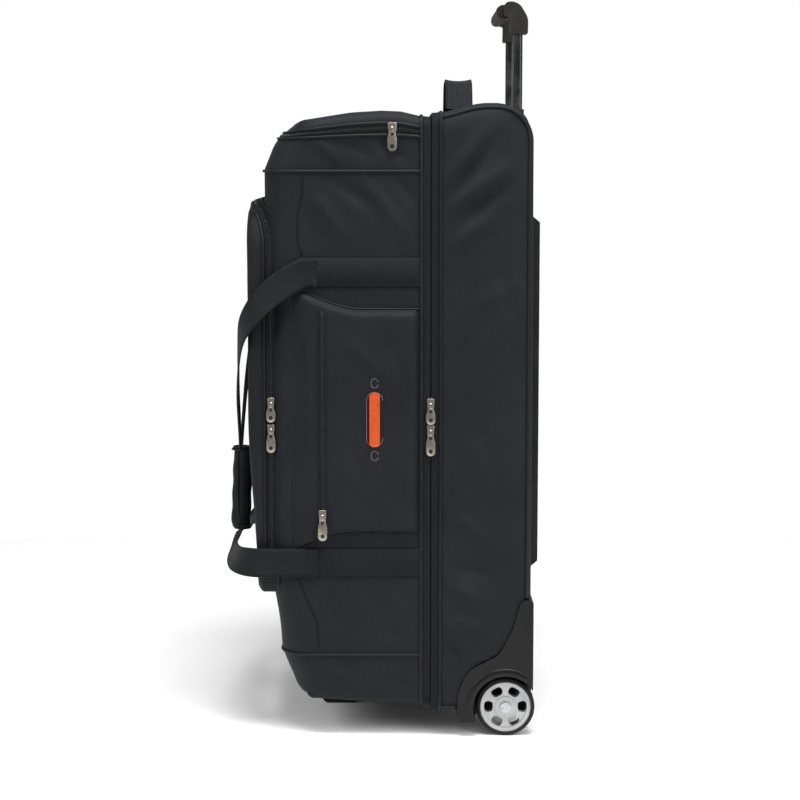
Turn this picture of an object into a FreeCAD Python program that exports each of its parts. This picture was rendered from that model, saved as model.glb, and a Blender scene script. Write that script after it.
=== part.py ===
import FreeCAD, Part
import math
import os

# A large wheeled duffel that stands upright.  Millimetres, +Z up, +X towards the back
# (trolley tubes and wheels), -Y the near side.  The origin is on the floor, under the
# centre of the outer box.

# ---- driving dimensions ---------------------------------------------------------------
HALF_WIDTH = 200.0          # bag centre to its flat side
BAG_TOP = 834.0             # highest point of the padded rear case
BAG_BOTTOM = 42.0           # underside of the fabric cases
WALL = 6.0                  # sewn panel: cloth, foam and lining
FRONT_FACE = -150.0         # front of the front case, behind its pocket
BACK_FACE = 200.0
ZIP_PLANE = 67.0            # where the two cases meet
CASE_GAP = 0.5              # each case ends this far from the zip plane
HINGE_Y = 204.0             # cloth hinge line, just outside the far side

TAPE_HALF = 12.5            # main zip tape, zip plane to its sewn edge
TAPE_PROUD = 1.6            # a tape's height over the cloth

WEB_WIDTH = 38.0            # webbing
WEB_THICK = 2.5
UPPER_WEB_Z = 616.0
LOWER_WEB_Z = 235.0

POCKET_TOP = 564.0          # side pocket
POCKET_BOTTOM = 285.0
POCKET_FRONT = -102.0
POCKET_BACK = 50.0
POCKET_DEPTH = 12.0
POCKET_WALL = 3.0
SIDE_ZIP_X = -74.0

FRONT_POCKET_FACE = -173.0
FRONT_POCKET_HALF = 186.0
FRONT_POCKET_LOW = 187.0
FRONT_POCKET_HIGH = 708.0
FRONT_ZIP_X = -142.0

TOP_ZIP_Z = 803.0
TOP_ZIP_HALF = 7.0

GRIP_FRONT = -211.0         # padded wrap of the carry handles
GRIP_RADIUS = 16.0
GRIP_LOW = 244.0
GRIP_HIGH = 362.0

TUBE_X = 183.0              # trolley tubes
TUBE_Y = 100.0
TUBE_DEEP = 12.0
TUBE_WIDE = 18.0
TUBE_WALL = 1.2
TUBE_LOW = 350.0
TUBE_HIGH = 926.0
OUTER_DEEP = 17.0
OUTER_WIDE = 23.0
OUTER_WALL = 1.5
OUTER_LOW = 78.0
OUTER_HIGH = 800.0

WHEEL_X = 167.0
WHEEL_RADIUS = 38.8
HUB_RADIUS = 33.4
FOOT_HALF = 30.0            # half the front foot's width
TYRE_OUT = 196.0            # outer and inner faces of the tyre
TYRE_IN = 172.0
WELL_RADIUS = 43.0
HOUSING_OUT = 203.0
HOUSING_IN = 158.0
AXLE_RADIUS = 4.0
RUNNING_FIT = 0.06          # radial clearance of a pin in its eye or a wheel on its axle

RAIL_Y = 140.0              # skid rails on the back
RAIL_BACK = 211.0
RAIL_LOW = 218.0
RAIL_HIGH = 688.0

SLIDER_THICK = 4.0
SLIDER_LIFT = 0.4           # gap between a slider and the tape under it
PIN_RADIUS = 1.0
TAB_WIDTH = 12.0
TAB_THICK = 1.4

X, Y, Z = FreeCAD.Vector(1, 0, 0), FreeCAD.Vector(0, 1, 0), FreeCAD.Vector(0, 0, 1)


# ---- helpers --------------------------------------------------------------------------
def place(a, b, plane, level):
    """A point of the plane xy, xz or yz, at a level on the third axis."""
    if plane == "xy":
        return FreeCAD.Vector(a, b, level)
    if plane == "xz":
        return FreeCAD.Vector(a, level, b)
    return FreeCAD.Vector(level, a, b)


def outline(corners, plane, level):
    """A closed wire through (a, b, radius) corners, each rounded by a tangent arc."""
    ends = []
    for index, (a, b, radius) in enumerate(corners):
        here = place(a, b, plane, level)
        before = place(corners[index - 1][0], corners[index - 1][1], plane, level)
        after_corner = corners[(index + 1) % len(corners)]
        after = place(after_corner[0], after_corner[1], plane, level)
        to_before = (before - here).normalize()
        to_after = (after - here).normalize()
        if radius == 0:
            ends.append((here, None, here))
            continue
        half = to_before.getAngle(to_after) / 2
        reach = radius / math.tan(half)
        bisector = (to_before + to_after).normalize()
        middle = here + bisector * (radius / math.sin(half) - radius)
        ends.append((here + to_before * reach, middle, here + to_after * reach))
    edges = []
    for index, (start, middle, finish) in enumerate(ends):
        if middle is not None:
            edges.append(Part.Arc(start, middle, finish).toShape())
        following = ends[(index + 1) % len(ends)][0]
        if finish.distanceToPoint(following) > 1e-6:
            edges.append(Part.makeLine(finish, following))
    return Part.Wire(edges)


def prism(corners, plane, low, high, offset=0.0):
    """The outline, grown by offset, drawn out from low to high along the third axis."""
    wire = outline(corners, plane, low)
    if offset:
        wire = wire.makeOffset2D(offset)
    length = high - low
    along = {"xy": Z, "xz": Y, "yz": X}[plane] * length
    return Part.Face(wire).extrude(along)


def block(x0, x1, y0, y1, z0, z1):
    return Part.makeBox(x1 - x0, y1 - y0, z1 - z0, FreeCAD.Vector(x0, y0, z0))


def soft_block(x0, x1, y0, y1, z0, z1, radius):
    shape = block(x0, x1, y0, y1, z0, z1)
    return shape.makeFillet(radius, shape.Edges)


def rod(radius, x, y, z, axis, length):
    return Part.makeCylinder(radius, length, FreeCAD.Vector(x, y, z), axis)


def mirrored(shape):
    """The same piece on the far side."""
    return shape.mirror(FreeCAD.Vector(0, 0, 0), Y)


def save(shape, node):
    solids = shape.Solids
    if not shape.isValid() or not solids:
        raise RuntimeError("bad shape: " + node)
    if len(solids) == 1:
        shape = solids[0]
    shape.exportStep("parts/" + node + ".step")
    print(node, len(solids), round(shape.Volume / 1000.0, 1), "cm3")


def save_pair(shape, name):
    save(shape, name + "_near")
    save(mirrored(shape), name + "_far")


# ---- the two cases --------------------------------------------------------------------
SIDE_ROUND = 18.0

FRONT_SIDE_VIEW = [
    (100.0, BAG_BOTTOM, 0), (-118.0, BAG_BOTTOM, 45.0), (FRONT_FACE + 2, 215.0, 150.0),
    (FRONT_FACE, 748.0, 60.0), (-116.0, 818.0, 34.0), (0.0, 829.0, 250.0), (100.0, 823.0, 0),
]
REAR_SIDE_VIEW = [
    (30.0, BAG_BOTTOM, 0), (30.0, 808.0, 0), (128.0, BAG_TOP, 150.0),
    (BACK_FACE, BAG_TOP - 2, 48.0), (BACK_FACE, BAG_BOTTOM, 22.0),
]
FRONT_TOP_VIEW = [
    (100.0, -HALF_WIDTH, 0), (FRONT_FACE, -HALF_WIDTH, 48.0),
    (FRONT_FACE, HALF_WIDTH, 48.0), (100.0, HALF_WIDTH, 0),
]
REAR_TOP_VIEW = [
    (30.0, -HALF_WIDTH, 0), (30.0, HALF_WIDTH, 0),
    (BACK_FACE, HALF_WIDTH, 24.0), (BACK_FACE, -HALF_WIDTH, 24.0),
]
END_VIEW = [
    (-HALF_WIDTH, BAG_BOTTOM, SIDE_ROUND), (-HALF_WIDTH, BAG_TOP + 1, SIDE_ROUND),
    (HALF_WIDTH, BAG_TOP + 1, SIDE_ROUND), (HALF_WIDTH, BAG_BOTTOM, SIDE_ROUND),
]


def envelope(side_view, top_view, inset):
    """The bag's outer form, or its inside where inset is the wall."""
    side = prism(side_view, "xz", -HALF_WIDTH - 20, HALF_WIDTH + 20, -inset)
    plan = prism(top_view, "xy", BAG_BOTTOM - 20, BAG_TOP + 20, -inset)
    ends = prism(END_VIEW, "yz", -260.0, 260.0, -inset)
    return side.common(plan).common(ends)


def case_solids(side_view, top_view, x_low, x_high):
    keep = block(x_low, x_high, -300, 300, 0, 900)
    outer = envelope(side_view, top_view, 0.0).common(keep)
    inner = envelope(side_view, top_view, WALL)
    return outer, inner


FRONT_TOP_SEAM = 792.0
BOTTOM_SEAM = 74.0
FRONT_CORNER_SEAM = -101.0
REAR_TOP_SEAM = 786.0
REAR_CORNER_SEAM = 174.0


def front_panels(outer, inner):
    shell = outer.cut(inner)
    middle = (BOTTOM_SEAM, FRONT_TOP_SEAM)
    top = block(-300, 100, -300, 300, FRONT_TOP_SEAM, 900)
    bottom = block(-300, 100, -300, 300, 0, BOTTOM_SEAM)
    front = block(-300, FRONT_CORNER_SEAM, -300, 300, middle[0], middle[1])
    side = block(FRONT_CORNER_SEAM, 100, -300, 0, middle[0], middle[1])
    save(shell.common(top), "front_top_panel")
    save(shell.common(bottom), "front_bottom_panel")
    save(shell.common(front), "front_main_panel")
    save_pair(shell.common(side), "front_side_panel")


def rear_panels(outer, inner):
    shell = outer.cut(inner)
    for guard in (housing_blank(0.0), mirrored(housing_blank(0.0))):
        shell = shell.cut(guard)
    for sign in (-1, 1):
        shell = shell.cut(block(
            TUBE_X - 8.4, TUBE_X + 8.4, sign * TUBE_Y - 11.4, sign * TUBE_Y + 11.4, 770, 900))
    low, high = BOTTOM_SEAM, REAR_TOP_SEAM
    top = block(0, 300, -300, 300, high, 900)
    bottom = block(0, 300, -300, 300, 0, low)
    back = block(REAR_CORNER_SEAM, 300, -300, 300, low, high)
    side = block(0, REAR_CORNER_SEAM, -300, 0, low, high)
    save(shell.common(top), "rear_top_panel")
    save(shell.common(bottom), "rear_bottom_panel")
    save(shell.common(back), "rear_back_panel")
    save_pair(shell.common(side), "rear_side_panel")


# ---- wheels and their guards ----------------------------------------------------------
HOUSING_VIEW = [
    (203.0, 185.0, 5.0), (187.0, 184.0, 7.0), (176.0, 146.0, 30.0), (158.0, 111.0, 25.0),
    (117.0, 90.0, 30.0), (103.0, 58.0, 20.0), (103.0, 20.0, 6.0), (203.0, 20.0, 0),
]


def housing_blank(grow):
    """The corner that the wheel guard takes up."""
    return prism(HOUSING_VIEW, "xz", -HOUSING_OUT - grow, -HOUSING_IN + grow)


def wheel_housing():
    blank = housing_blank(0.0)
    well = rod(WELL_RADIUS, WHEEL_X, -HOUSING_OUT - 5, 38.8, Y, HOUSING_OUT + 5 - HOUSING_IN - 5)
    guard = blank.cut(well)
    bore = rod(AXLE_RADIUS, WHEEL_X, -HOUSING_OUT, 38.8, Y, 80.0)
    return guard.cut(bore).cut(block(100, 220, -210, -100, 0, 6))


def axle():
    y_out = -TYRE_OUT - 3.0
    shaft = rod(AXLE_RADIUS, WHEEL_X, y_out, WHEEL_RADIUS, Y, -HOUSING_IN - y_out)
    cap = rod(7.0, WHEEL_X, y_out, WHEEL_RADIUS, Y, 2.6)
    shoulder = rod(8.0, WHEEL_X, -TYRE_IN + 0.6, WHEEL_RADIUS, Y, TYRE_IN - 0.6 - 163.0)
    return shaft.fuse([cap, shoulder]).removeSplitter()


def wheel_hub():
    """A moulded disc with a raised rim, a hub boss and six openings."""
    y_out, y_in = -TYRE_OUT + 1.5, -TYRE_IN - 1.0
    hub = rod(HUB_RADIUS, WHEEL_X, y_out, WHEEL_RADIUS, Y, y_in - y_out)
    dish = rod(28.5, WHEEL_X, y_out, WHEEL_RADIUS, Y, 2.0)
    boss = rod(13.5, WHEEL_X, y_out, WHEEL_RADIUS, Y, 2.0)
    back_dish = rod(28.5, WHEEL_X, y_in - 9.0, WHEEL_RADIUS, Y, 9.0)
    back_boss = rod(13.0, WHEEL_X, y_in - 9.0, WHEEL_RADIUS, Y, 9.0)
    hub = hub.cut(dish).cut(back_dish).fuse([boss, back_boss])
    opening = prism(
        [(16.5, -5.8, 4.2), (28.3, -9.6, 5.2), (28.3, 9.6, 5.2), (16.5, 5.8, 4.2)],
        "xz", -210.0, -150.0)
    for step in range(6):
        spoke_gap = opening.copy()
        spoke_gap.rotate(FreeCAD.Vector(0, 0, 0), Y, 60.0 * step)
        spoke_gap.translate(FreeCAD.Vector(WHEEL_X, 0, WHEEL_RADIUS))
        hub = hub.cut(spoke_gap)
    bore = rod(AXLE_RADIUS + RUNNING_FIT, WHEEL_X, -220, WHEEL_RADIUS, Y, 80)
    return hub.cut(bore).removeSplitter()


def wheel_tyre():
    width = TYRE_OUT - TYRE_IN
    tyre = rod(WHEEL_RADIUS, WHEEL_X, -TYRE_OUT, WHEEL_RADIUS, Y, width)
    tyre = tyre.makeFillet(4.0, [e for e in tyre.Edges if len(e.Vertexes) == 1])
    return tyre.cut(rod(HUB_RADIUS, WHEEL_X, -TYRE_OUT - 1, WHEEL_RADIUS, Y, width + 2))


# ---- trolley --------------------------------------------------------------------------
def tube_outline(y, deep, wide, round_off):
    x_half, y_half = deep / 2, wide / 2
    return [
        (TUBE_X - x_half, y - y_half, round_off), (TUBE_X + x_half, y - y_half, round_off),
        (TUBE_X + x_half, y + y_half, round_off), (TUBE_X - x_half, y + y_half, round_off),
    ]


def hollow_tube(y, deep, wide, wall, low, high):
    outside = prism(tube_outline(y, deep, wide, 4.5), "xy", low, high)
    inside_view = tube_outline(y, deep - 2 * wall, wide - 2 * wall, 4.5 - wall)
    return outside.cut(prism(inside_view, "xy", low - 1, high + 1))


ARM_VIEW = [
    (195.5, 925.0, 2.0), (196.0, 946.0, 22.0), (183.0, 967.5, 17.0), (163.5, 967.0, 8.0),
    (164.0, 949.0, 4.0), (173.0, 947.0, 3.0), (172.5, 925.0, 2.0),
]
BAR_X, BAR_Z = 165.5, 954.5


def trolley_grip():
    arm = prism(ARM_VIEW, "xz", -TUBE_Y - 12.0, -TUBE_Y + 12.0)
    bar_view = [
        (BAR_X - 11, BAR_Z - 9, 7.5), (BAR_X + 9, BAR_Z - 7, 6.5),
        (BAR_X + 9, BAR_Z + 10, 7.5), (BAR_X - 9, BAR_Z + 10, 8.0),
    ]
    bar = prism(bar_view, "xz", -TUBE_Y + 11.5, TUBE_Y - 11.5)
    grip = arm.fuse([mirrored(arm), bar])
    for sign in (-1, 1):
        grip = grip.cut(prism(
            tube_outline(sign * TUBE_Y, TUBE_DEEP, TUBE_WIDE, 4.5), "xy", 900, TUBE_HIGH + 6))
    slot = block(BAR_X - 6.5, BAR_X + 5.5, -18.5, 18.5, BAR_Z + 2, BAR_Z + 20)
    return grip.cut(slot).removeSplitter()


def release_button():
    low = BAR_Z + 7.0
    return soft_block(BAR_X - 6.0, BAR_X + 5.0, -18.0, 18.0, low, BAR_Z + 12.0, 1.2)


def tube_plugs():
    """Guide bushes at the foot of each sliding tube."""
    plugs = []
    for sign in (-1, 1):
        outline_here = tube_outline(sign * TUBE_Y, 13.3, 19.3, 4.0)
        plugs.append(prism(outline_here, "xy", TUBE_LOW - 18.0, TUBE_LOW))
    return Part.makeCompound(plugs)


def handle_collars():
    """The two collars that the tubes rise through."""
    collars = []
    for sign in (-1, 1):
        view = tube_outline(sign * TUBE_Y, 16.6, 22.6, 5.5)
        collars.append(prism(view, "xy", OUTER_HIGH, 827.0))
    ring = collars[0].fuse(collars[1])
    for sign in (-1, 1):
        hole = tube_outline(sign * TUBE_Y, TUBE_DEEP + 0.7, TUBE_WIDE + 0.7, 4.8)
        ring = ring.cut(prism(hole, "xy", 700, 900))
    return ring


def tube_bracket():
    """The cross piece at the foot of the fixed tubes."""
    bar = block(TUBE_X - 10.0, TUBE_X + 9.0, -TUBE_Y - 16, TUBE_Y + 16, OUTER_LOW - 12, OUTER_LOW + 14)
    for sign in (-1, 1):
        view = tube_outline(sign * TUBE_Y, OUTER_DEEP, OUTER_WIDE, 4.5)
        bar = bar.cut(prism(view, "xy", OUTER_LOW, OUTER_LOW + 40))
    return bar


def skid_rail():
    view = [
        (BACK_FACE, RAIL_LOW, 0), (RAIL_BACK, RAIL_LOW + 9, 3.0),
        (RAIL_BACK, RAIL_HIGH - 9, 3.0), (BACK_FACE, RAIL_HIGH, 0),
    ]
    return prism(view, "xz", -RAIL_Y - 8.0, -RAIL_Y + 8.0)


def rail_screws():
    """Pan heads at the ends of both rails and over both wheel guards."""
    heads = []
    for y in (-RAIL_Y, RAIL_Y):
        for z in (RAIL_LOW + 30, (RAIL_LOW + RAIL_HIGH) / 2, RAIL_HIGH - 30):
            heads.append(rod(4.0, RAIL_BACK - 3.5, y, z, X, 3.0))
    return heads


# ---- zips -----------------------------------------------------------------------------
def main_tape(outer_view, top_view, x_low, x_high):
    """Sewn over the near side, the top and the bottom, but not over the cloth hinge."""
    proud = envelope(outer_view, top_view, -TAPE_PROUD)
    flush = envelope(outer_view, top_view, 0.0)
    band = block(x_low, x_high, -300, HALF_WIDTH - 24, 0, 900)
    return proud.cut(flush).common(band)


def slider_and_tab(x, z, face, half_w, half_h, tab_length):
    """A slider on a zip of the near side, and the tab that hangs from its bridge."""
    y_low = -face - SLIDER_LIFT - SLIDER_THICK
    y_high = -face - SLIDER_LIFT
    body = block(x - half_w, x + half_w, y_low, y_high, z - half_h, z + half_h)
    body = body.makeFillet(1.2, body.Edges)
    pin_z = z - half_h - 2.4
    pin_y = -face - 3.2
    ears = []
    for side in (-1, 1):
        inner, outer = side * 3.4, side * 4.7
        ears.append(block(x + min(inner, outer), x + max(inner, outer),
                          pin_y - 1.6, pin_y + 1.6, pin_z - 1.6, z - half_h + 2.0))
    pin = rod(PIN_RADIUS, x - 4.7, pin_y, pin_z, X, 9.4)
    slider = body.fuse(ears + [pin]).removeSplitter()
    eye = rod(1.9, x - 2.9, pin_y, pin_z, X, 5.8)
    neck = block(x - 2.9, x + 2.9, pin_y - TAB_THICK / 2, pin_y + TAB_THICK / 2, pin_z - 4.5, pin_z)
    plate_view = [
        (x - TAB_WIDTH / 2, pin_z - 3.0, 2.0), (x + TAB_WIDTH / 2, pin_z - 3.0, 2.0),
        (x + TAB_WIDTH / 2, pin_z - tab_length, 4.5), (x - TAB_WIDTH / 2, pin_z - tab_length, 4.5),
    ]
    plate = prism(plate_view, "xz", pin_y - TAB_THICK / 2, pin_y + TAB_THICK / 2)
    hole = rod(2.6, x, pin_y - 5, pin_z - tab_length + 5.0, Y, 10)
    bore = rod(PIN_RADIUS + RUNNING_FIT, x - 5, pin_y, pin_z, X, 10)
    tab = eye.fuse([neck, plate]).cut(hole).cut(bore).removeSplitter()
    return slider, tab


# ---- soft pieces ----------------------------------------------------------------------
def webbing():
    """Two runs of webbing sewn flat across the side."""
    strips = []
    for z, x_low in ((UPPER_WEB_Z, -100.0), (LOWER_WEB_Z, -100.0)):
        strips.append(block(x_low, ZIP_PLANE - 15.0, -HALF_WIDTH - WEB_THICK, -HALF_WIDTH,
                            z - WEB_WIDTH / 2, z + WEB_WIDTH / 2))
    return Part.makeCompound(strips)


UPPER_LOOP = [
    (-107.0, -204.0, 616.0), (-136.0, -203.5, 597.0), (-164.0, -198.0, 570.0),
    (-180.0, -176.0, 538.0), (-187.0, -134.0, 497.0), (-192.0, -84.0, 448.0),
    (-194.0, -40.0, 400.0), (-195.0, -15.0, 378.0),
]
LOWER_LOOP = [
    (-107.0, -204.0, 235.0), (-138.0, -203.5, 235.0), (-165.0, -197.0, 234.0),
    (-181.0, -172.0, 232.0), (-188.0, -124.0, 229.0), (-193.0, -72.0, 226.0),
    (-194.5, -38.0, 226.0), (-195.0, -15.0, 228.0),
]


def strap(route):
    """Webbing as straight spans between upright sections that turn with the route."""
    sections = []
    last = len(route) - 1
    for index, point in enumerate(route):
        here = FreeCAD.Vector(*point)
        before = FreeCAD.Vector(*route[max(index - 1, 0)])
        after = FreeCAD.Vector(*route[min(index + 1, last)])
        along = (after - before).normalize()
        flat = FreeCAD.Vector(along.x, along.y, 0)
        across = flat.cross(Z).normalize()
        upright = across.cross(along).normalize()
        share = 1.0 - 0.35 * index / last
        tall = upright * (WEB_WIDTH / 2 * share)
        thick = across * (WEB_THICK / 2)
        corners = [here - tall - thick, here - tall + thick, here + tall + thick, here + tall - thick]
        sections.append(Part.makePolygon(corners + [corners[0]]))
    spans = []
    for low, high in zip(sections[:-1], sections[1:]):
        spans.append(Part.makeLoft([low, high], True, True))
    return spans


def handle_loop():
    return Part.makeCompound([merged(strap(UPPER_LOOP)), merged(strap(LOWER_LOOP))])


def merged(spans):
    return spans[0].fuse(spans[1:])


def grip_wrap():
    x = GRIP_FRONT + GRIP_RADIUS
    wrap = rod(GRIP_RADIUS, x, 0, GRIP_LOW, Z, GRIP_HIGH - GRIP_LOW)
    return wrap.makeFillet(5.0, [e for e in wrap.Edges if len(e.Vertexes) == 1])


STRAP_X = 106.0
STRAP_LOW = 850.0
STRAP_CROWN = 869.0


def grab_strap():
    """The crown of the top handle: webbing arched across the bag."""
    arch = [
        (-78.0, STRAP_LOW, 0), (-52.0, STRAP_CROWN, 30.0), (52.0, STRAP_CROWN, 30.0),
        (78.0, STRAP_LOW, 0), (72.0, STRAP_LOW, 0), (50.0, STRAP_CROWN - 3.0, 27.0),
        (-50.0, STRAP_CROWN - 3.0, 27.0), (-72.0, STRAP_LOW, 0),
    ]
    return prism(arch, "yz", STRAP_X - WEB_WIDTH / 2, STRAP_X + WEB_WIDTH / 2)


def front_pocket(front_outer):
    """A flat pocket over the whole front, open towards the panel that it is sewn to."""
    blank = soft_block(FRONT_POCKET_FACE, -100.0, -FRONT_POCKET_HALF, FRONT_POCKET_HALF,
                       FRONT_POCKET_LOW, FRONT_POCKET_HIGH, 9.0)
    room = soft_block(FRONT_POCKET_FACE + POCKET_WALL, -90.0,
                      -FRONT_POCKET_HALF + POCKET_WALL, FRONT_POCKET_HALF - POCKET_WALL,
                      FRONT_POCKET_LOW + POCKET_WALL, FRONT_POCKET_HIGH - POCKET_WALL, 6.0)
    keep = block(-300, -118.0, -300, 300, 0, 900)
    return blank.common(keep).cut(room).cut(front_outer)


def side_pocket():
    view = [
        (POCKET_FRONT, POCKET_BOTTOM - 18, 20.0), (POCKET_FRONT, POCKET_TOP + 8, 20.0),
        (-50.0, POCKET_TOP, 200.0), (POCKET_BACK, POCKET_TOP, 6.0),
        (POCKET_BACK, POCKET_BOTTOM, 6.0), (-50.0, POCKET_BOTTOM - 2, 200.0),
    ]
    bag = prism(view, "xz", -HALF_WIDTH - POCKET_DEPTH, -HALF_WIDTH)
    room = prism(view, "xz", -HALF_WIDTH - POCKET_DEPTH + POCKET_WALL, -HALF_WIDTH, -POCKET_WALL)
    return bag.cut(room)


def top_zip_tape(front_outer):
    """A band round the front case's top: near side, front and far side."""
    view = [
        (ZIP_PLANE - 14.0, -HALF_WIDTH - TAPE_PROUD, 0), (-127.0, -HALF_WIDTH - TAPE_PROUD, 44.0),
        (-127.0, HALF_WIDTH + TAPE_PROUD, 44.0), (ZIP_PLANE - 14.0, HALF_WIDTH + TAPE_PROUD, 0),
    ]
    band = prism(view, "xy", TOP_ZIP_Z - TOP_ZIP_HALF, TOP_ZIP_Z + TOP_ZIP_HALF)
    core = block(-60.0, 100.0, -HALF_WIDTH + 3, HALF_WIDTH - 3, 700, 900)
    return band.cut(front_outer).cut(core)




def front_foot(front_outer):
    """A hard foot under the middle of the front case, level with the foot of the wheels."""
    view = [(-92.0, 46.4, 0), (-80.0, 0.0, 8.0), (-32.0, 0.0, 8.0), (-20.0, 46.4, 0)]
    return prism(view, "xz", -FOOT_HALF, FOOT_HALF).cut(front_outer)


def screws():
    """Pan-head screws: six in the rails, and four that hold the tubes' bracket."""
    heads = rail_screws()
    for y in (-TUBE_Y - 8, TUBE_Y + 8):
        heads.append(rod(3.5, TUBE_X + 9.0, y, OUTER_LOW + 8, X, 2.0))
    return Part.makeCompound(heads)


def main():
    os.makedirs("parts", exist_ok=True)
    front_outer, front_inner = case_solids(
        FRONT_SIDE_VIEW, FRONT_TOP_VIEW, -300, ZIP_PLANE - CASE_GAP)
    rear_outer, rear_inner = case_solids(
        REAR_SIDE_VIEW, REAR_TOP_VIEW, ZIP_PLANE + CASE_GAP, 300)

    front_panels(front_outer, front_inner)
    rear_panels(rear_outer, rear_inner)

    # frame
    board = block(167.5, 170.0, -150, 150, BOTTOM_SEAM + 12, REAR_TOP_SEAM - 8)
    save(board, "frame_board")
    save_pair(skid_rail().cut(screws()), "skid_rail")
    save_pair(wheel_housing(), "wheel_housing")
    save(Part.makeCompound([axle(), mirrored(axle())]), "wheel_axles")
    outer_tube = hollow_tube(-TUBE_Y, OUTER_DEEP, OUTER_WIDE, OUTER_WALL, OUTER_LOW, OUTER_HIGH)
    save_pair(outer_tube, "outer_tube")
    save(handle_collars(), "handle_collars")
    save(tube_bracket(), "tube_bracket")
    save(screws(), "screws")

    # wheels
    save_pair(wheel_hub(), "wheel_hub")
    save_pair(wheel_tyre(), "wheel_tyre")

    # trolley
    save_pair(hollow_tube(-TUBE_Y, TUBE_DEEP, TUBE_WIDE, TUBE_WALL, TUBE_LOW, TUBE_HIGH), "trolley_tube")
    save(tube_plugs(), "tube_plugs")
    save(trolley_grip(), "trolley_grip")
    save(release_button(), "release_button")

    # soft pieces of the front case
    save(front_pocket(front_outer), "front_pocket")
    save_pair(side_pocket(), "side_pocket")
    save_pair(webbing(), "webbing")
    save(front_foot(front_outer), "front_foot")
    save_pair(handle_loop(), "handle_loop")
    save(grip_wrap(), "grip_wrap")
    save(grab_strap(), "grab_strap")

    # zips
    save(main_tape(FRONT_SIDE_VIEW, FRONT_TOP_VIEW, ZIP_PLANE - TAPE_HALF, ZIP_PLANE - CASE_GAP),
         "front_zip_tape")
    save(main_tape(REAR_SIDE_VIEW, REAR_TOP_VIEW, ZIP_PLANE + CASE_GAP, ZIP_PLANE + TAPE_HALF),
         "rear_zip_tape")
    gusset = block(ZIP_PLANE + CASE_GAP, ZIP_PLANE + TAPE_HALF, HALF_WIDTH, HALF_WIDTH + TAPE_PROUD,
                   BAG_BOTTOM + 30, 790.0)
    save(gusset, "hinge_gusset")
    save(top_zip_tape(front_outer), "top_zip_tape")
    save(block(FRONT_ZIP_X - 6, FRONT_ZIP_X + 6, -FRONT_POCKET_HALF - TAPE_PROUD, -FRONT_POCKET_HALF,
               FRONT_POCKET_LOW + 35, FRONT_POCKET_HIGH - 25), "front_pocket_tape")
    face = HALF_WIDTH + POCKET_DEPTH
    tape = block(SIDE_ZIP_X - 6, SIDE_ZIP_X + 6, -face - TAPE_PROUD, -face,
                 POCKET_BOTTOM + 8, POCKET_TOP - 8)
    save(Part.makeCompound([tape, mirrored(tape)]), "side_pocket_tapes")

    # sliders: name, x, z, face they ride on, half width, half height, tab length
    side_face = HALF_WIDTH + TAPE_PROUD
    slider_list = [
        ("main_upper", ZIP_PLANE, 446.0, side_face, 5.0, 6.0, 20.0),
        ("main_lower", ZIP_PLANE, 411.0, side_face, 5.0, 6.0, 26.0),
        ("front_upper", FRONT_ZIP_X, 446.0, FRONT_POCKET_HALF + TAPE_PROUD, 4.0, 5.5, 19.0),
        ("front_lower", FRONT_ZIP_X, 411.0, FRONT_POCKET_HALF + TAPE_PROUD, 4.0, 5.5, 24.0),
        ("top", 17.0, TOP_ZIP_Z, side_face, 6.0, 5.0, 24.0),
    ]
    for name, x, z, on_face, half_w, half_h, tab_length in slider_list:
        slider, tab = slider_and_tab(x, z, on_face, half_w, half_h, tab_length)
        save(slider, name + "_slider")
        save(tab, name + "_tab")
    slider, tab = slider_and_tab(SIDE_ZIP_X, POCKET_BOTTOM + 16, face + TAPE_PROUD, 5.0, 6.0, 26.0)
    save_pair(slider, "side_slider")
    save_pair(tab, "side_tab")


main()
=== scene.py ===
import math
import bmesh
import bpy
from mathutils import Matrix, Vector, noise


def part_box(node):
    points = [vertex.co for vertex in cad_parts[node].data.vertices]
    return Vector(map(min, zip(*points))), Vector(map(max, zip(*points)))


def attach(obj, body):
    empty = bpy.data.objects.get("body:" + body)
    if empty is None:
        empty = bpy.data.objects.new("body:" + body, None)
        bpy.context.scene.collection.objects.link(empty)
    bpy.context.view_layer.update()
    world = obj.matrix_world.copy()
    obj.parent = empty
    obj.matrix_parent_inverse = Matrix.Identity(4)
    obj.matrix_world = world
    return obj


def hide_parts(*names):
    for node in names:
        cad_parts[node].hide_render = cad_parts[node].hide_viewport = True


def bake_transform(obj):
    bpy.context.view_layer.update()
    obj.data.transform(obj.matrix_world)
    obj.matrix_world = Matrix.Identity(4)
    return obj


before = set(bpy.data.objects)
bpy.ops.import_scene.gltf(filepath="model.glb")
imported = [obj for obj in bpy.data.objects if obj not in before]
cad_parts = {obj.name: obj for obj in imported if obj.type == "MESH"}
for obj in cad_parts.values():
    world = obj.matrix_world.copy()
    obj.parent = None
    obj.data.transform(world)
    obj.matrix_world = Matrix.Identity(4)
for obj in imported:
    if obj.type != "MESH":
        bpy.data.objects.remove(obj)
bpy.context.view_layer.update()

bl_info = {
    "name": "Rolling Duffel",
    "version": (1, 0, 0),
    "blender": (4, 5, 0),
    "location": "View3D > Sidebar > Duffel",
    "description": "Sews a wheeled duffel round its hard frame, piece by piece",
    "category": "Object",
}

# Metres, +Z up, +X to the back of the bag, -Y the near side.
MM = 0.001
NEAR, FAR = -1, 1
SIDES = ((NEAR, "near"), (FAR, "far"))


# ---- places taken from the frame ------------------------------------------------------
def span(*nodes):
    """Lowest and highest corner of several frame nodes together."""
    boxes = [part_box(node) for node in nodes]
    low = Vector([min(box[0][axis] for box in boxes) for axis in range(3)])
    high = Vector([max(box[1][axis] for box in boxes) for axis in range(3)])
    return low, high


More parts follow.
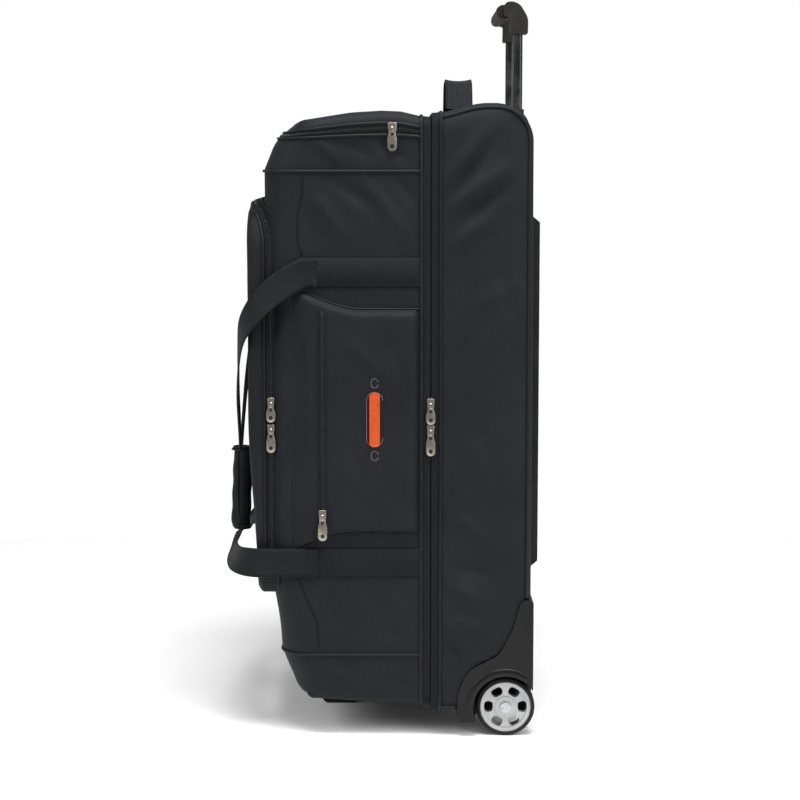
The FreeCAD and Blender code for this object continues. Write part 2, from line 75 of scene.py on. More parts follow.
PANELS = ("top_panel", "bottom_panel", "side_panel_near", "side_panel_far")
FRONT_NODES = ["front_" + name for name in PANELS] + ["front_main_panel"]
REAR_NODES = ["rear_" + name for name in PANELS] + ["rear_back_panel"]
FRONT_LOW, FRONT_HIGH = span(*FRONT_NODES)
REAR_LOW, REAR_HIGH = span(*REAR_NODES)
HALF_WIDTH = FRONT_HIGH.y
ZIP_X = (FRONT_HIGH.x + REAR_LOW.x) / 2
WEBBING_LEVELS = (0.616, 0.235)     # heights of the two runs of side webbing
FRONT_SEAMS = (0.746, 0.111)        # heights of the front case's two corded seams
TOP_ZIP_SEAMS = (0.794, 0.812)      # and of the cords that hem its top zip
POCKET_LOW, POCKET_HIGH = span("side_pocket_near")
GUARD_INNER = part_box("wheel_housing_far")[0][1]


def smooth(value):
    """0 to 1 with no corner at either end."""
    value = min(max(value, 0.0), 1.0)
    return value * value * (3 - 2 * value)


def bump(value, middle, half_width):
    """1 at the middle, 0 at half_width to either side."""
    return smooth(1 - abs(value - middle) / half_width)


# ---- the cases' forms -----------------------------------------------------------------
# A piece of the bag's skin is first laid out on a plain box.  A form takes a point of that
# box to its place on the soft bag, so that seams, zips and webbing stay on the cloth.
def round_edge(point, axes, edges, signs, radius):
    """Rolls the box's edge between two of its faces to a quarter circle."""
    first, second = axes
    inner = [radius - (edges[k] - point[axes[k]]) * signs[k] for k in (0, 1)]
    if inner[0] <= 0 or inner[1] <= 0:
        return
    scale = max(inner) / math.hypot(*inner)
    point[first] = edges[0] - signs[0] * (radius - inner[0] * scale)
    point[second] = edges[1] - signs[1] * (radius - inner[1] * scale)


def fold(x, z, start, end, width, height):
    """A soft ridge, or with a negative height a crease, from one point to another."""
    a, b = Vector(start) * MM, Vector(end) * MM
    run = b - a
    share = min(max((Vector((x, z)) - a).dot(run) / run.length_squared, 0.0), 1.0)
    away = (Vector((x, z)) - a - run * share).length
    taper = math.sin(math.pi * min(max(share, 0.04), 0.96))
    return height * MM * taper * smooth(1 - away / (width * MM))


# Folds as start, end (place along the depth and height), half width and height, in mm.
REAR_FOLDS = [
    ((84, 722), (142, 806), 15, 6.5), ((92, 712), (154, 796), 12, -5.0),
    ((86, 690), (176, 762), 16, 6.0), ((98, 674), (180, 738), 13, -5.0),
    ((84, 640), (150, 690), 14, 4.5), ((110, 560), (186, 610), 18, 3.6),
    ((86, 480), (120, 540), 14, -3.2), ((130, 380), (190, 430), 20, 3.2),
    ((86, 206), (140, 182), 15, 7.5), ((84, 236), (160, 214), 15, -5.0),
    ((88, 160), (136, 146), 12, 6.0), ((86, 300), (150, 262), 18, 4.0),
    ((84, 128), (112, 100), 10, -4.5), ((80, 90), (100, 66), 9, 4.0),
    ((150, 640), (190, 520), 16, -3.0), ((96, 430), (150, 330), 20, 3.0),
]
FRONT_FOLDS = [
    ((-92, 728), (-40, 650), 15, 4.5), ((-70, 742), (10, 690), 15, -3.6),
    ((-20, 736), (40, 655), 16, 4.5), ((20, 742), (50, 700), 10, -4.0),
    ((-96, 700), (-84, 640), 10, -3.0), ((-60, 210), (20, 132), 18, 4.5),
    ((-90, 206), (-50, 140), 14, -4.0), ((0, 208), (48, 150), 14, 4.0),
    ((-20, 160), (50, 122), 12, -3.6), ((-100, 790), (-40, 752), 9, 3.4),
    ((-10, 788), (44, 756), 9, -3.4), ((-90, 96), (-30, 66), 10, 3.6),
    ((0, 92), (50, 60), 10, -3.4), ((-60, 788), (0, 760), 9, -2.8),
]
# The wheel guard's front edge on the side, as (height, place) in millimetres.
GUARD_EDGE = [(20, 103), (58, 103), (90, 117), (111, 158), (146, 176), (178, 187)]
# How far the front case's top falls below its highest level, as (place, drop).
FRONT_TOP_DROP = [(-116, 21), (-100, 17), (-66, 12), (-37, 8), (3, 5), (28, 6), (58, 13),
                  (70, 14)]


def between(pairs, value):
    """Reads a value off a line drawn through given pairs."""
    if value <= pairs[0][0]:
        return pairs[0][1]
    for (a, first), (b, second) in zip(pairs[:-1], pairs[1:]):
        if value <= b:
            return first + (second - first) * (value - a) / (b - a)
    return pairs[-1][1]


def relief(folds, x, z, side):
    """How far the side cloth stands out from flat at a point."""
    total = sum(fold(x, z, *each) for each in folds)
    broad = noise.noise(Vector((x * 11, z * 7, side * 3.1))) * 1.5
    fine = noise.noise(Vector((x * 46, z * 30, side * 7.7))) * 0.55
    return total + (broad + fine) * MM


def rear_form(point):
    """The rear case: soft side cloth, rounded edges, a top that falls to the zip."""
    p = Vector(point)
    x, z, side = p.x, p.z, (1 if p.y > 0 else -1)
    outward = abs(p.y) / HALF_WIDTH
    inset = smooth((REAR_HIGH.x - x) / 0.03) * smooth((x - REAR_LOW.x) / 0.02)
    inset *= smooth((REAR_HIGH.z - z) / 0.03) * smooth((z - REAR_LOW.z) / 0.03)
    by_guard = smooth((x / MM - between(GUARD_EDGE, z / MM) + 16) / 20)
    inset *= 1 - by_guard * smooth((0.20 - z) / 0.02)
    if outward > 0.995:
        crown = 4.0 * MM * math.sin(math.pi * min(max((x - 0.07) / 0.13, 0), 1))
        p.y += side * inset * (crown + relief(REAR_FOLDS, x, z, side))
    elif x > REAR_HIGH.x - 0.001:
        p.x += 1.6 * MM * noise.noise(Vector((p.y * 8, z * 6, 9.0))) * (1 - outward ** 4)
    elif z > REAR_HIGH.z - 0.001:
        p.z += 2.0 * MM * noise.noise(Vector((x * 14, p.y * 9, 4.0))) * (1 - outward ** 6)
    round_edge(p, (0, 2), (REAR_HIGH.x, REAR_HIGH.z), (1, 1), 50 * MM)
    round_edge(p, (0, 2), (REAR_HIGH.x, REAR_LOW.z), (1, -1), 22 * MM)
    for sign in (NEAR, FAR):
        round_edge(p, (0, 1), (REAR_HIGH.x, sign * HALF_WIDTH), (1, sign), 16 * MM)
        round_edge(p, (1, 2), (sign * HALF_WIDTH, REAR_HIGH.z), (sign, 1), 13 * MM)
        round_edge(p, (1, 2), (sign * HALF_WIDTH, REAR_LOW.z), (sign, -1), 13 * MM)
    p.z -= 14 * MM * smooth((0.140 - x) / 0.073) * smooth((z - 0.775) / 0.05)
    p.z -= 8 * MM * smooth((0.130 - x) / 0.03) * smooth((0.11 - z) / 0.06) * smooth(outward * 3)
    # Behind the wheel guard the cloth is drawn in, to make room for the wheel.
    behind = p.x / MM - between(GUARD_EDGE, z / MM) - 11
    tucked = smooth(behind / 5) * smooth((0.176 - z) / 0.006)
    room = abs(p.y) - GUARD_INNER + 26 * MM
    if room > 0:
        p.y -= math.copysign(room * 0.66 * tucked, p.y)
    return p


def front_form(point):
    """The front case: flat by its seams and straps, sloping forward at top and bottom."""
    p = Vector(point)
    x, z, side = p.x, p.z, (1 if p.y > 0 else -1)
    outward = abs(p.y) / HALF_WIDTH
    inset = smooth((x - FRONT_LOW.x) / 0.04) * smooth((FRONT_HIGH.x - x) / 0.02)
    inset *= smooth((FRONT_HIGH.z - z) / 0.03) * smooth((z - FRONT_LOW.z) / 0.03)
    for seam in FRONT_SEAMS:
        inset *= 1 - 0.8 * bump(z, seam, 0.014)
    for strap in WEBBING_LEVELS:
        inset *= 1 - 0.9 * bump(z, strap, 0.034)
    inset *= 1 - smooth((0.30 - abs(z - 0.425)) / 0.15) * smooth((x + 0.13) / 0.02)
    if outward > 0.995:
        crown = 2.0 * MM * math.sin(math.pi * min(max((z - 0.05) / 0.78, 0), 1))
        p.y += side * inset * (crown + relief(FRONT_FOLDS, x, z, side))
    elif x < FRONT_LOW.x + 0.001:
        p.x -= 2.5 * MM * noise.noise(Vector((p.y * 7, z * 6, 2.0))) * (1 - outward ** 4)
    elif z > FRONT_HIGH.z - 0.001:
        p.z += 2.6 * MM * noise.noise(Vector((x * 12, p.y * 8, 6.0))) * (1 - outward ** 6)
    round_edge(p, (0, 2), (FRONT_LOW.x, FRONT_HIGH.z), (-1, 1), 15 * MM)
    round_edge(p, (0, 2), (FRONT_LOW.x, FRONT_LOW.z), (-1, -1), 22 * MM)
    for sign in (NEAR, FAR):
        round_edge(p, (0, 1), (FRONT_LOW.x, sign * HALF_WIDTH), (-1, sign), 44 * MM)
        round_edge(p, (1, 2), (sign * HALF_WIDTH, FRONT_HIGH.z), (sign, 1), 14 * MM)
        round_edge(p, (1, 2), (sign * HALF_WIDTH, FRONT_LOW.z), (sign, -1), 16 * MM)
    forward = smooth(-(x - 0.02) / 0.17)
    p.x += forward * 33 * MM * min(max((z - 0.748) / 0.080, 0.0), 1.0)
    p.x += forward * 18 * MM * smooth((0.270 - z) / 0.150)
    p.x += forward * 20 * MM * smooth((0.125 - z) / 0.075)
    high = smooth((z - 0.775) / 0.05)
    p.z -= high * MM * between(FRONT_TOP_DROP, p.x / MM)
    p.z += 7 * MM * smooth((0.10 - z) / 0.06) * smooth(-(x - 0.05) / 0.2)
    return p


# ---- making pieces --------------------------------------------------------------------
def add_object(bm, name, finishes, body=None, replaces=(), flat=False):
    """Turns a finished bmesh into a piece that moves with a body of the frame."""
    mesh = bpy.data.meshes.new(name)
    bm.normal_update()
    bm.to_mesh(mesh)
    bm.free()
    for finish in finishes:
        mesh.materials.append(bpy.data.materials[finish])
    if not flat:
        mesh.shade_smooth()
    piece = bpy.data.objects.new(name, mesh)
    bpy.context.scene.collection.objects.link(piece)
    if body:
        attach(piece, body)
    if replaces:
        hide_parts(*replaces)
    return piece


def add_modifier(piece, kind, **settings):
    """Adds a modifier, named after its kind, with its settings."""
    modifier = piece.modifiers.new(kind.title(), kind)
    for key, value in settings.items():
        setattr(modifier, key, value)
    return modifier


def gridded_box(low, high, step, open_side=None):
    """A box whose faces are cut to a grid about step wide; open_side is (axis, sign)."""
    bm = bmesh.new()
    size, middle = high - low, (high + low) / 2
    bmesh.ops.create_cube(bm, size=1.0)
    bmesh.ops.scale(bm, vec=size, verts=bm.verts)
    bmesh.ops.translate(bm, vec=middle, verts=bm.verts)
    for axis in range(3):
        edges = [e for e in bm.edges
                 if abs(abs((e.verts[1].co - e.verts[0].co).normalized()[axis]) - 1) < 1e-4]
        cuts = max(int(size[axis] / step) - 1, 1)
        bmesh.ops.subdivide_edges(bm, edges=edges, cuts=cuts, use_grid_fill=True)
    if open_side is not None:
        axis, sign = open_side
        limit = high[axis] if sign > 0 else low[axis]
        lid = [f for f in bm.faces if all(abs(v.co[axis] - limit) < 1e-5 for v in f.verts)]
        bmesh.ops.delete(bm, geom=lid, context="FACES")
    return bm


def box_axis(point, low, high):
    """The axis of the box's face that a point lies on."""
    gaps = [min(abs(point[k] - low[k]), abs(point[k] - high[k])) for k in range(3)]
    return gaps.index(min(gaps))


def skin_run(form, limits, corners, step=6 * MM, lift=0.0):
    """Places along a line drawn on a form's box: position, across and outward directions."""
    low, high = limits
    centre = (low + high) / 2
    places = []
    for start, end in zip(corners[:-1], corners[1:]):
        start, end = Vector(start), Vector(end)
        along = end - start
        axis = box_axis((start + end) / 2, low, high)
        face = Vector([1.0 if k == axis else 0.0 for k in range(3)])
        face *= 1 if ((start + end) / 2)[axis] > centre[axis] else -1
        across = face.cross(along).normalized()
        count = max(round(along.length / step), 1)
        for k in range(count + (1 if end == Vector(corners[-1]) else 0)):
            places.append((start + along * (k / count), across))
    middles = [form(p) for p, across in places]
    frames = []
    reach = 3 * MM
    for k, (p, across) in enumerate(places):
        tangent = (middles[min(k + 1, len(places) - 1)] - middles[max(k - 1, 0)]).normalized()
        sideways = (form(p + across * reach) - form(p - across * reach)).normalized()
        outward = tangent.cross(sideways).normalized()
        frames.append((middles[k] + outward * lift, sideways, outward))
    return frames


def sweep(frames, section):
    """A solid strip: the section, as (across, outward) points, carried through the frames."""
    bm = bmesh.new()
    order = bm.verts.layers.int.new("order")
    uv = bm.loops.layers.uv.new("weave")
    ring = []
    position, across, outward = frames[0]
    for index, (a, b) in enumerate(section):
        vert = bm.verts.new(position + across * a + outward * b)
        vert[order] = index
        ring.append(vert)
    count = len(ring)
    first_face = bm.faces.new(ring)
    edges = list(first_face.edges)
    bmesh.ops.delete(bm, geom=[first_face], context="FACES_ONLY")
    travelled = 0.0
    first_ring, marks = ring, {v: 0.0 for v in ring}
    for position, across, outward in frames[1:]:
        grown = bmesh.ops.extrude_edge_only(bm, edges=edges)["geom"]
        new_verts = [g for g in grown if isinstance(g, bmesh.types.BMVert)]
        edges = [g for g in grown if isinstance(g, bmesh.types.BMEdge)]
        previous = ring[0].co.copy()
        ring = sorted(new_verts, key=lambda v: v[order])
        for vert in ring:
            a, b = section[vert[order]]
            vert.co = position + across * a + outward * b
        travelled += (ring[0].co - previous).length
        marks.update({v: travelled for v in ring})
    bm.faces.new(first_ring)
    bm.faces.new(ring)
    around = [0.0]
    for k in range(count):
        a, b = Vector(section[k]), Vector(section[(k + 1) % count])
        around.append(around[-1] + (b - a).length)
    for face in bm.faces:
        slots = [loop.vert[order] for loop in face.loops]
        wraps = 0 in slots and count - 1 in slots and count > 2 and len(face.verts) == 4
        for loop in face.loops:
            slot = loop.vert[order]
            side = around[count] if wraps and slot == 0 else around[slot]
            loop[uv].uv = (marks[loop.vert], side)
    bmesh.ops.recalc_face_normals(bm, faces=bm.faces)
    return bm


def strip_section(width, thick, edge=0.8 * MM):
    """Flat cloth or webbing with softened edges, its underside on the surface."""
    half = width / 2
    return [(-half, 0), (half, 0), (half, thick - edge), (half - edge, thick),
            (-half + edge, thick), (-half, thick - edge)]


def round_section(radius, lift, sides=8):
    """A cord whose middle is lift above the surface."""
    turns = [math.tau * k / sides for k in range(sides)]
    return [(radius * math.cos(turn), lift + radius * math.sin(turn)) for turn in turns]


def gather(bm, other):
    """Adds one bmesh's geometry to another."""
    mesh = bpy.data.meshes.new("gather")
    other.to_mesh(mesh)
    other.free()
    bm.from_mesh(mesh)
    bpy.data.meshes.remove(mesh)


def beads(frames, pitch, size, offset, lift, wobble=0.0):
    """Small rounded grains at an even pitch along a run: stitches, or a zip's coil."""
    bm = bmesh.new()
    along_half, across_half, high_half = size
    carried = pitch / 2
    for start, end in zip(frames[:-1], frames[1:]):
        step = end[0] - start[0]
        length = step.length
        while carried < length:
            share = carried / length
            across = start[1].lerp(end[1], share).normalized()
            outward = start[2].lerp(end[2], share).normalized()
            centre = start[0].lerp(end[0], share) + across * offset + outward * lift
            tangent = across.cross(outward)
            turn = Matrix((tangent, across, outward)).transposed().to_4x4()
            place = Matrix.Translation(centre) @ turn
            place = place @ Matrix.Rotation(wobble, 4, "Z")
            place = place @ Matrix.Diagonal((along_half, across_half, high_half, 1.0))
            bmesh.ops.create_icosphere(bm, subdivisions=1, radius=1.0, matrix=place)
            carried += pitch
        carried -= length
    return bm


# ---- finishes -------------------------------------------------------------------------
def linear(hex_colour):
    """A web colour such as #202226 as the linear colour that the shaders take."""
    channels = [int(hex_colour[k:k + 2], 16) / 255 for k in (1, 3, 5)]
    channels = [c / 12.92 if c <= 0.04045 else ((c + 0.055) / 1.055) ** 2.4 for c in channels]
    return (*channels, 1.0)


def add(tree, kind, sockets=(), out=0, **settings):
    """Adds a node with its settings, and its inputs' values or links; gives one output.

    The inputs go by name or number in a dictionary, or in order in a tuple.
    """
    node = tree.nodes.new("ShaderNode" + kind)
    for key, value in settings.items():
        setattr(node, key, value)
    for key, value in (sockets.items() if isinstance(sockets, dict) else enumerate(sockets)):
        if isinstance(value, bpy.types.NodeSocket):
            tree.links.new(value, node.inputs[key])
        else:
            node.inputs[key].default_value = value
    return node.outputs[out] if node.outputs else node


def new_tree(name):
    """The empty node tree of a new material."""
    finish = bpy.data.materials.new(name)
    finish.use_nodes = True
    finish.node_tree.nodes.clear()
    return finish.node_tree


def plain_weave(tree, place, thread):
    """Height of a plain weave on upright cloth: over and under, one thread wide."""
    level = add(tree, "VectorMath", (place, (1.0, 1.0, 0.0)), "Value", operation="DOT_PRODUCT")
    height = add(tree, "SeparateXYZ", (place,), "Z")
    turn = math.pi / thread
    weft, warp = [add(tree, "Math", (add(tree, "Math", (run, turn), operation="MULTIPLY"),),
                      operation="SINE") for run in (level, height)]
    return add(tree, "Math", (weft, warp), operation="MULTIPLY")


def close_finish(tree, tones, rough, relief, **sockets):
    """A material's end: its shader, from (share, colour, other colour), how dull it is and
    its relief as (height, distance, strength)."""
    share, first, second = tones
    height, distance, strength = relief
    shader = add(tree, "BsdfPrincipled", {
        "Base Color": add(tree, "Mix", {0: share, 6: first, 7: second}, 2, data_type="RGBA"),
        "Roughness": rough,
        "Normal": add(tree, "Bump", {"Height": height, "Distance": distance * MM,
                                     "Strength": strength}),
        **{key.replace("_", " "): value for key, value in sockets.items()}})
    add(tree, "OutputMaterial", (shader,))


def oxford_polyester(colours):
    """PU-backed 600D polyester, plain woven: dull, with a faint sheen on its folds.

    Its threads are about 0.5 mm wide and are drawn 1.1 mm wide, so that they show.
    """
    tree = new_tree("oxford polyester")
    place = add(tree, "TexCoord", out="Object")
    weave = plain_weave(tree, place, 1.1 * MM)
    slubs = add(tree, "TexNoise", {"Vector": place, "Scale": 1 / (2.6 * MM), "Detail": 3.0})
    worn = add(tree, "TexNoise", {"Vector": place, "Scale": 11.0, "Detail": 4.0,
                                  "Roughness": 0.6})
    dusty = add(tree, "MapRange", (worn, 0.35, 0.70, 0.0, 1.0))
    base = add(tree, "Mix", {0: dusty, 6: colours.cloth, 7: colours.cloth_worn}, 2,
               data_type="RGBA")
    lit = add(tree, "MapRange", (slubs, 0.3, 0.7, 0.0, 0.35))
    raised = add(tree, "Math", (weave, 0.35, slubs), operation="MULTIPLY_ADD")
    close_finish(tree, (lit, base, colours.cloth_thread),
                 add(tree, "MapRange", (slubs, 0.2, 0.8, 0.50, 0.72)), (raised, 0.35, 0.8),
                 Sheen_Weight=0.012, Sheen_Roughness=0.40, Sheen_Tint=linear("#b9bdc6"),
                 Specular_IOR_Level=CLOTH_GLOSS)


def nylon_lining(colours):
    """Thin woven nylon lining: smooth and a little silky, with a fine rib.

    The rib is about 0.4 mm wide and is drawn 1.4 mm wide.
    """
    tree = new_tree("nylon lining")
    place = add(tree, "TexCoord", out="Object")
    weave = plain_weave(tree, place, 1.4 * MM)
    crumple = add(tree, "TexNoise", {"Vector": place, "Scale": 22.0, "Detail": 3.0,
                                     "Roughness": 0.55})
    # Where the crumples stand up the lining is mixed lighter: a painted highlight on its creases.
    share = add(tree, "MapRange", (crumple, 0.3, 0.7, 0.0, 1.0))
    raised = add(tree, "Math", (weave, 0.02, crumple), operation="MULTIPLY_ADD")
    close_finish(tree, (share, colours.lining, colours.lining_light_and_crease_highlight), 0.5, (raised, 6.0, 0.6),
                 Sheen_Weight=0.15, Specular_IOR_Level=0.4)


def ribbed_webbing(colours):
    """Polypropylene webbing: thick ribs across the strap, crossed by lengthwise bars.

    The ribs are about 1.3 mm apart and are drawn 2.2 mm apart.
    """
    tree = new_tree("polypropylene webbing")
    place = add(tree, "TexCoord", out="Object")
    strap = add(tree, "UVMap", out="UV", uv_map="weave")
    waves = []
    for axis, pitch in (("X", 2.2 * MM), ("Y", 3.1 * MM)):
        run = add(tree, "SeparateXYZ", (strap,), axis)
        run = add(tree, "Math", (run, math.tau / pitch), operation="MULTIPLY")
        waves.append(add(tree, "Math", (run,), operation="SINE"))
    crossed = add(tree, "Math", waves, operation="MULTIPLY")
    weave = add(tree, "Math", (waves[0], 0.6, crossed), operation="MULTIPLY_ADD")
    fuzz = add(tree, "TexNoise", {"Vector": place, "Scale": 1 / (1.5 * MM)})
    blotch = add(tree, "TexNoise", {"Vector": place, "Scale": 17.0, "Detail": 3.0})
    tone = add(tree, "Mix", {0: blotch, 6: colours.webbing, 7: colours.webbing_light_and_rib_highlight}, 2,
               data_type="RGBA")
    # The raised ribs are mixed towards the lighter colour: a painted highlight on the rib tops.
    lit = add(tree, "MapRange", (weave, -1.0, 1.4, 0.0, 0.6))
    raised = add(tree, "Math", (fuzz, 0.8, weave), operation="MULTIPLY_ADD")
    close_finish(tree, (lit, tone, colours.webbing_light_and_rib_highlight), 0.50, (raised, 0.3, 0.9),
                 Sheen_Weight=0.012, Sheen_Roughness=0.35, Specular_IOR_Level=CLOTH_GLOSS)


def small_goods(colours):
    """The bag's thin textiles and cords.

    Knitted zip tape is flat and dull.  Bias tape sewn tight round a cord catches a thin
    light.  A zip's coil is smooth nylon monofilament.  Bonded thread is twisted.
    """
    for name, feature, depth, first, second, rough, gloss in (
            ("knitted zip tape", 1.8, 0.15, colours.tape, colours.tape_light, 0.78, 0.12),
            ("bound piping", 5.0, 0.30, colours.piping, colours.cloth_worn, 0.46, 0.16),
            ("nylon coil", 12.0, 0.05, colours.coil, colours.tape_light, 0.32, 0.50),
            ("sewing thread", 0.8, 0.10, colours.thread, colours.webbing_light_and_rib_highlight, 0.50, 0.30),
            ("badge thread", 0.8, 0.10, colours.badge_thread, colours.badge_thread, 0.5, 0.3)):
        tree = new_tree(name)
        place = add(tree, "TexCoord", out="Object")
        ripple = add(tree, "TexNoise", {"Vector": place, "Scale": 1 / (feature * MM)})
        close_finish(tree, (ripple, first, second), rough, (ripple, depth, 0.7),
                     Specular_IOR_Level=gloss)


def hard_goods(name, first, second, rough, texture, depth, patch=28.0, **sockets):
    """A moulded, plated or coated part: its fine texture, and rubbed or dusty patches.

    Sizes are in millimetres; the patches change both its colour and how dull it is.
    """
    tree = new_tree(name)
    place = add(tree, "TexCoord", out="Object")
    fine = add(tree, "TexNoise", {"Vector": place, "Scale": 1 / (texture * MM), "Detail": 3.0})
    rubbed = add(tree, "TexNoise", {"Vector": place, "Scale": 1 / (patch * MM), "Detail": 5.0,
                                    "Roughness": 0.65})
    share = add(tree, "MapRange", (rubbed, 0.45, 0.75, 0.0, 1.0))
    dull = add(tree, "MapRange", (rubbed, 0.3, 0.7, rough - 0.06, rough + 0.1))
    close_finish(tree, (share, first, second), dull, (fine, depth, 0.7), **sockets)


CLOTH_GLOSS = 0.14      # specular level of cloth and webbing
PLASTIC = {"Specular_IOR_Level": 0.22}


def make_finishes(colours):
    """Mixes the bag's finishes: cloths first, then the hard parts, then the floor."""
    oxford_polyester(colours)
    nylon_lining(colours)
    ribbed_webbing(colours)
    small_goods(colours)
    # Injection-moulded guards: smooth, with a thin gloss that shows their bulge.
    hard_goods("glossy guard plastic", colours.guard, colours.guard_rub, 0.34, 1.2, 0.05,
               Specular_IOR_Level=0.2, Coat_Weight=0.06, Coat_Roughness=0.25)
    # Spark-eroded grain on the rails, the foot and the sleeves: dull and dark.
    hard_goods("grained plastic", colours.rail, colours.rail_rub, 0.52, 0.9, 0.15, **PLASTIC)
    # The grip's fine grain, polished by hands.
    hard_goods("grip plastic", colours.grip, colours.grip_rub, 0.48, 0.7, 0.10, **PLASTIC)
    # Silver-painted wheel discs: a soft metallic paint over plastic.
    hard_goods("silver wheel plastic", colours.hub, colours.hub_shade, 0.36, 1.0, 0.04,
               Metallic=0.25, Coat_Weight=0.3, Coat_Roughness=0.15)
    # The pressed board behind the lining.
    hard_goods("back board sheet", colours.lining, colours.lining_light_and_crease_highlight, 0.6, 1.5, 0.10,
               **PLASTIC)
    # Black powder coat on drawn steel tube: half gloss, with a faint orange peel.
    hard_goods("powder coated steel", colours.tube, colours.tube_rub, 0.30, 1.8, 0.05, 40.0,
               Specular_IOR_Level=0.3, Coat_Weight=0.15, Coat_Roughness=0.12)
    # Nickel on cast pulls, and zinc on axles and screws: bright, pitted, handled.
    hard_goods("warm nickel plate", colours.nickel, colours.nickel_shade, 0.30, 1.6, 0.05, 9.0,
               Metallic=1.0)
    hard_goods("zinc plated steel", linear("#b9babd"), linear("#8d8f93"), 0.34, 1.6, 0.05, 9.0,
               Metallic=1.0)
    # Cast polyurethane tread, and the badge's soft rubber: dull, dusty where it has worn.
    hard_goods("cast polyurethane tread", colours.tyre, colours.tyre_dust, 0.68, 0.9, 0.10, 7.0,
               **PLASTIC)
    hard_goods("moulded badge rubber", colours.badge, colours.badge_shade, 0.60, 0.9, 0.08, 9.0,
               **PLASTIC)
    # Matt painted studio floor.
    hard_goods("studio floor", linear("#fbfbfb"), linear("#f6f6f6"), 0.9, 400.0, 0.0, 1200.0,
               Specular_IOR_Level=0.1)


# The frame pieces that stay as they are, and the finish of each.
FRAME_FINISH = {
    "frame_board": "back board sheet", "tube_bracket": "grained plastic",
    "handle_collars": "grained plastic", "tube_plugs": "grained plastic",
    "front_foot": "grained plastic", "skid_rail_near": "grained plastic",
    "skid_rail_far": "grained plastic", "wheel_housing_near": "glossy guard plastic",
    "wheel_housing_far": "glossy guard plastic", "trolley_grip": "grip plastic",
    "release_button": "grip plastic", "outer_tube_near": "powder coated steel",
    "outer_tube_far": "powder coated steel", "trolley_tube_near": "powder coated steel",
    "trolley_tube_far": "powder coated steel", "wheel_axles": "zinc plated steel",
    "screws": "zinc plated steel", "wheel_hub_near": "silver wheel plastic",
    "wheel_hub_far": "silver wheel plastic", "wheel_tyre_near": "cast polyurethane tread",
    "wheel_tyre_far": "cast polyurethane tread",
}


def finish_frame():
    """Gives every frame piece that shows its own material."""
    for name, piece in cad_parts.items():
        finish = FRAME_FINISH.get(name, "oxford polyester")
        if "slider" in name or "_tab" in name:
            finish = "warm nickel plate"
        if name.endswith(("_tape", "_tapes")) or name == "hinge_gusset":
            finish = "knitted zip tape"
        piece.data.materials.clear()
        piece.data.materials.append(bpy.data.materials[finish])


# ---- the two cases --------------------------------------------------------------------
def sewn_shell(name, form, limits, sign, thick, step, body, nodes):
    """Cloth laid over a box that is open on one side along X, with its lining inside."""
    bm = gridded_box(limits[0], limits[1], step, (0, sign))
    for vert in bm.verts:
        vert.co = form(vert.co)
    bmesh.ops.recalc_face_normals(bm, faces=bm.faces)
    bmesh.ops.solidify(bm, geom=bm.faces[:], thickness=thick)
    bmesh.ops.recalc_face_normals(bm, faces=bm.faces)
    piece = add_object(bm, name, ["oxford polyester", "nylon lining"], body, nodes)
    line_inside(piece, limits, limits[sign > 0].x)


def line_inside(piece, limits, open_x):
    """Gives the faces that look into the case the lining; the rim at open_x stays cloth."""
    centre = (limits[0] + limits[1]) / 2
    for face in piece.data.polygons:
        away = Vector(face.center) - centre
        away.x *= 0.3
        rim = abs(face.center[0] - open_x) < 6 * MM and abs(face.normal.x) > 0.7
        if Vector(face.normal).dot(away) < 0 and not rim:
            face.material_index = 1


def make_cases(sizes):
    """The front and rear case, open to each other."""
    for name, form, limits, sign, nodes in (
            ("front_case", front_form, (FRONT_LOW, FRONT_HIGH), 1, FRONT_NODES),
            ("rear_case", rear_form, (REAR_LOW, REAR_HIGH), -1, REAR_NODES)):
        sewn_shell(name + "_cloth", form, limits, sign, 5 * MM, sizes.cloth_grid, name, nodes)


# ---- stage ----------------------------------------------------------------------------
def area_light(name, place, aim, size, power):
    """A soft lamp at a place, turned to what it lights."""
    data = bpy.data.lights.new(name, "AREA")
    data.shape = "RECTANGLE"
    data.size, data.size_y = size
    data.energy = power
    lamp = bpy.data.objects.new(name, data)
    lamp.location = place
    lamp.rotation_euler = (Vector(aim) - Vector(place)).to_track_quat("-Z", "Y").to_euler()
    bpy.context.scene.collection.objects.link(lamp)


def make_stage(stage):
    """A white floor and backdrop, three soft lamps and the camera."""
    bm = bmesh.new()
    bmesh.ops.create_grid(bm, x_segments=4, y_segments=4, size=1.2)
    floor = add_object(bm, "floor", ["studio floor"])
    floor.data.transform(Matrix.Translation((0, 0, -0.0002)))
    world = bpy.data.worlds.new("studio")
    bpy.context.scene.world = world
    world.use_nodes = True
    tree = world.node_tree
    tree.nodes.clear()
    # The eye sees a white studio, while the bag is lit mostly by its lamps.
    fill = add(tree, "Background", ((1.0, 1.0, 1.0, 1.0), stage.fill))
    white = add(tree, "Background", ((1.0, 1.0, 1.0, 1.0), stage.backdrop))
    seen = add(tree, "LightPath", out="Is Camera Ray")
    add(tree, "OutputWorld", (add(tree, "MixShader", (seen, fill, white)),))
    bpy.context.scene.view_settings.view_transform = "Standard"
    area_light("key", (-2.3, -1.7, 2.0), (0, -0.1, 0.45), (1.0, 1.6), stage.key_power)
    area_light("back edge", (1.5, -1.5, 1.3), (0.1, -0.1, 0.5), (0.8, 1.8), stage.edge_power)
    area_light("top", (0.2, -0.9, 2.9), (0, -0.1, 0.6), (1.6, 1.0), stage.top_power)

    data = bpy.data.cameras.new("camera")
    data.sensor_width = 36.0
    data.lens = stage.lens
    camera = bpy.data.objects.new("camera", data)
    camera.location = (stage.camera_x, -HALF_WIDTH - stage.distance, stage.camera_height)
    camera.rotation_euler = (math.pi / 2 - stage.pitch, 0.0, 0.0)
    bpy.context.scene.collection.objects.link(camera)
    bpy.context.scene.camera = camera


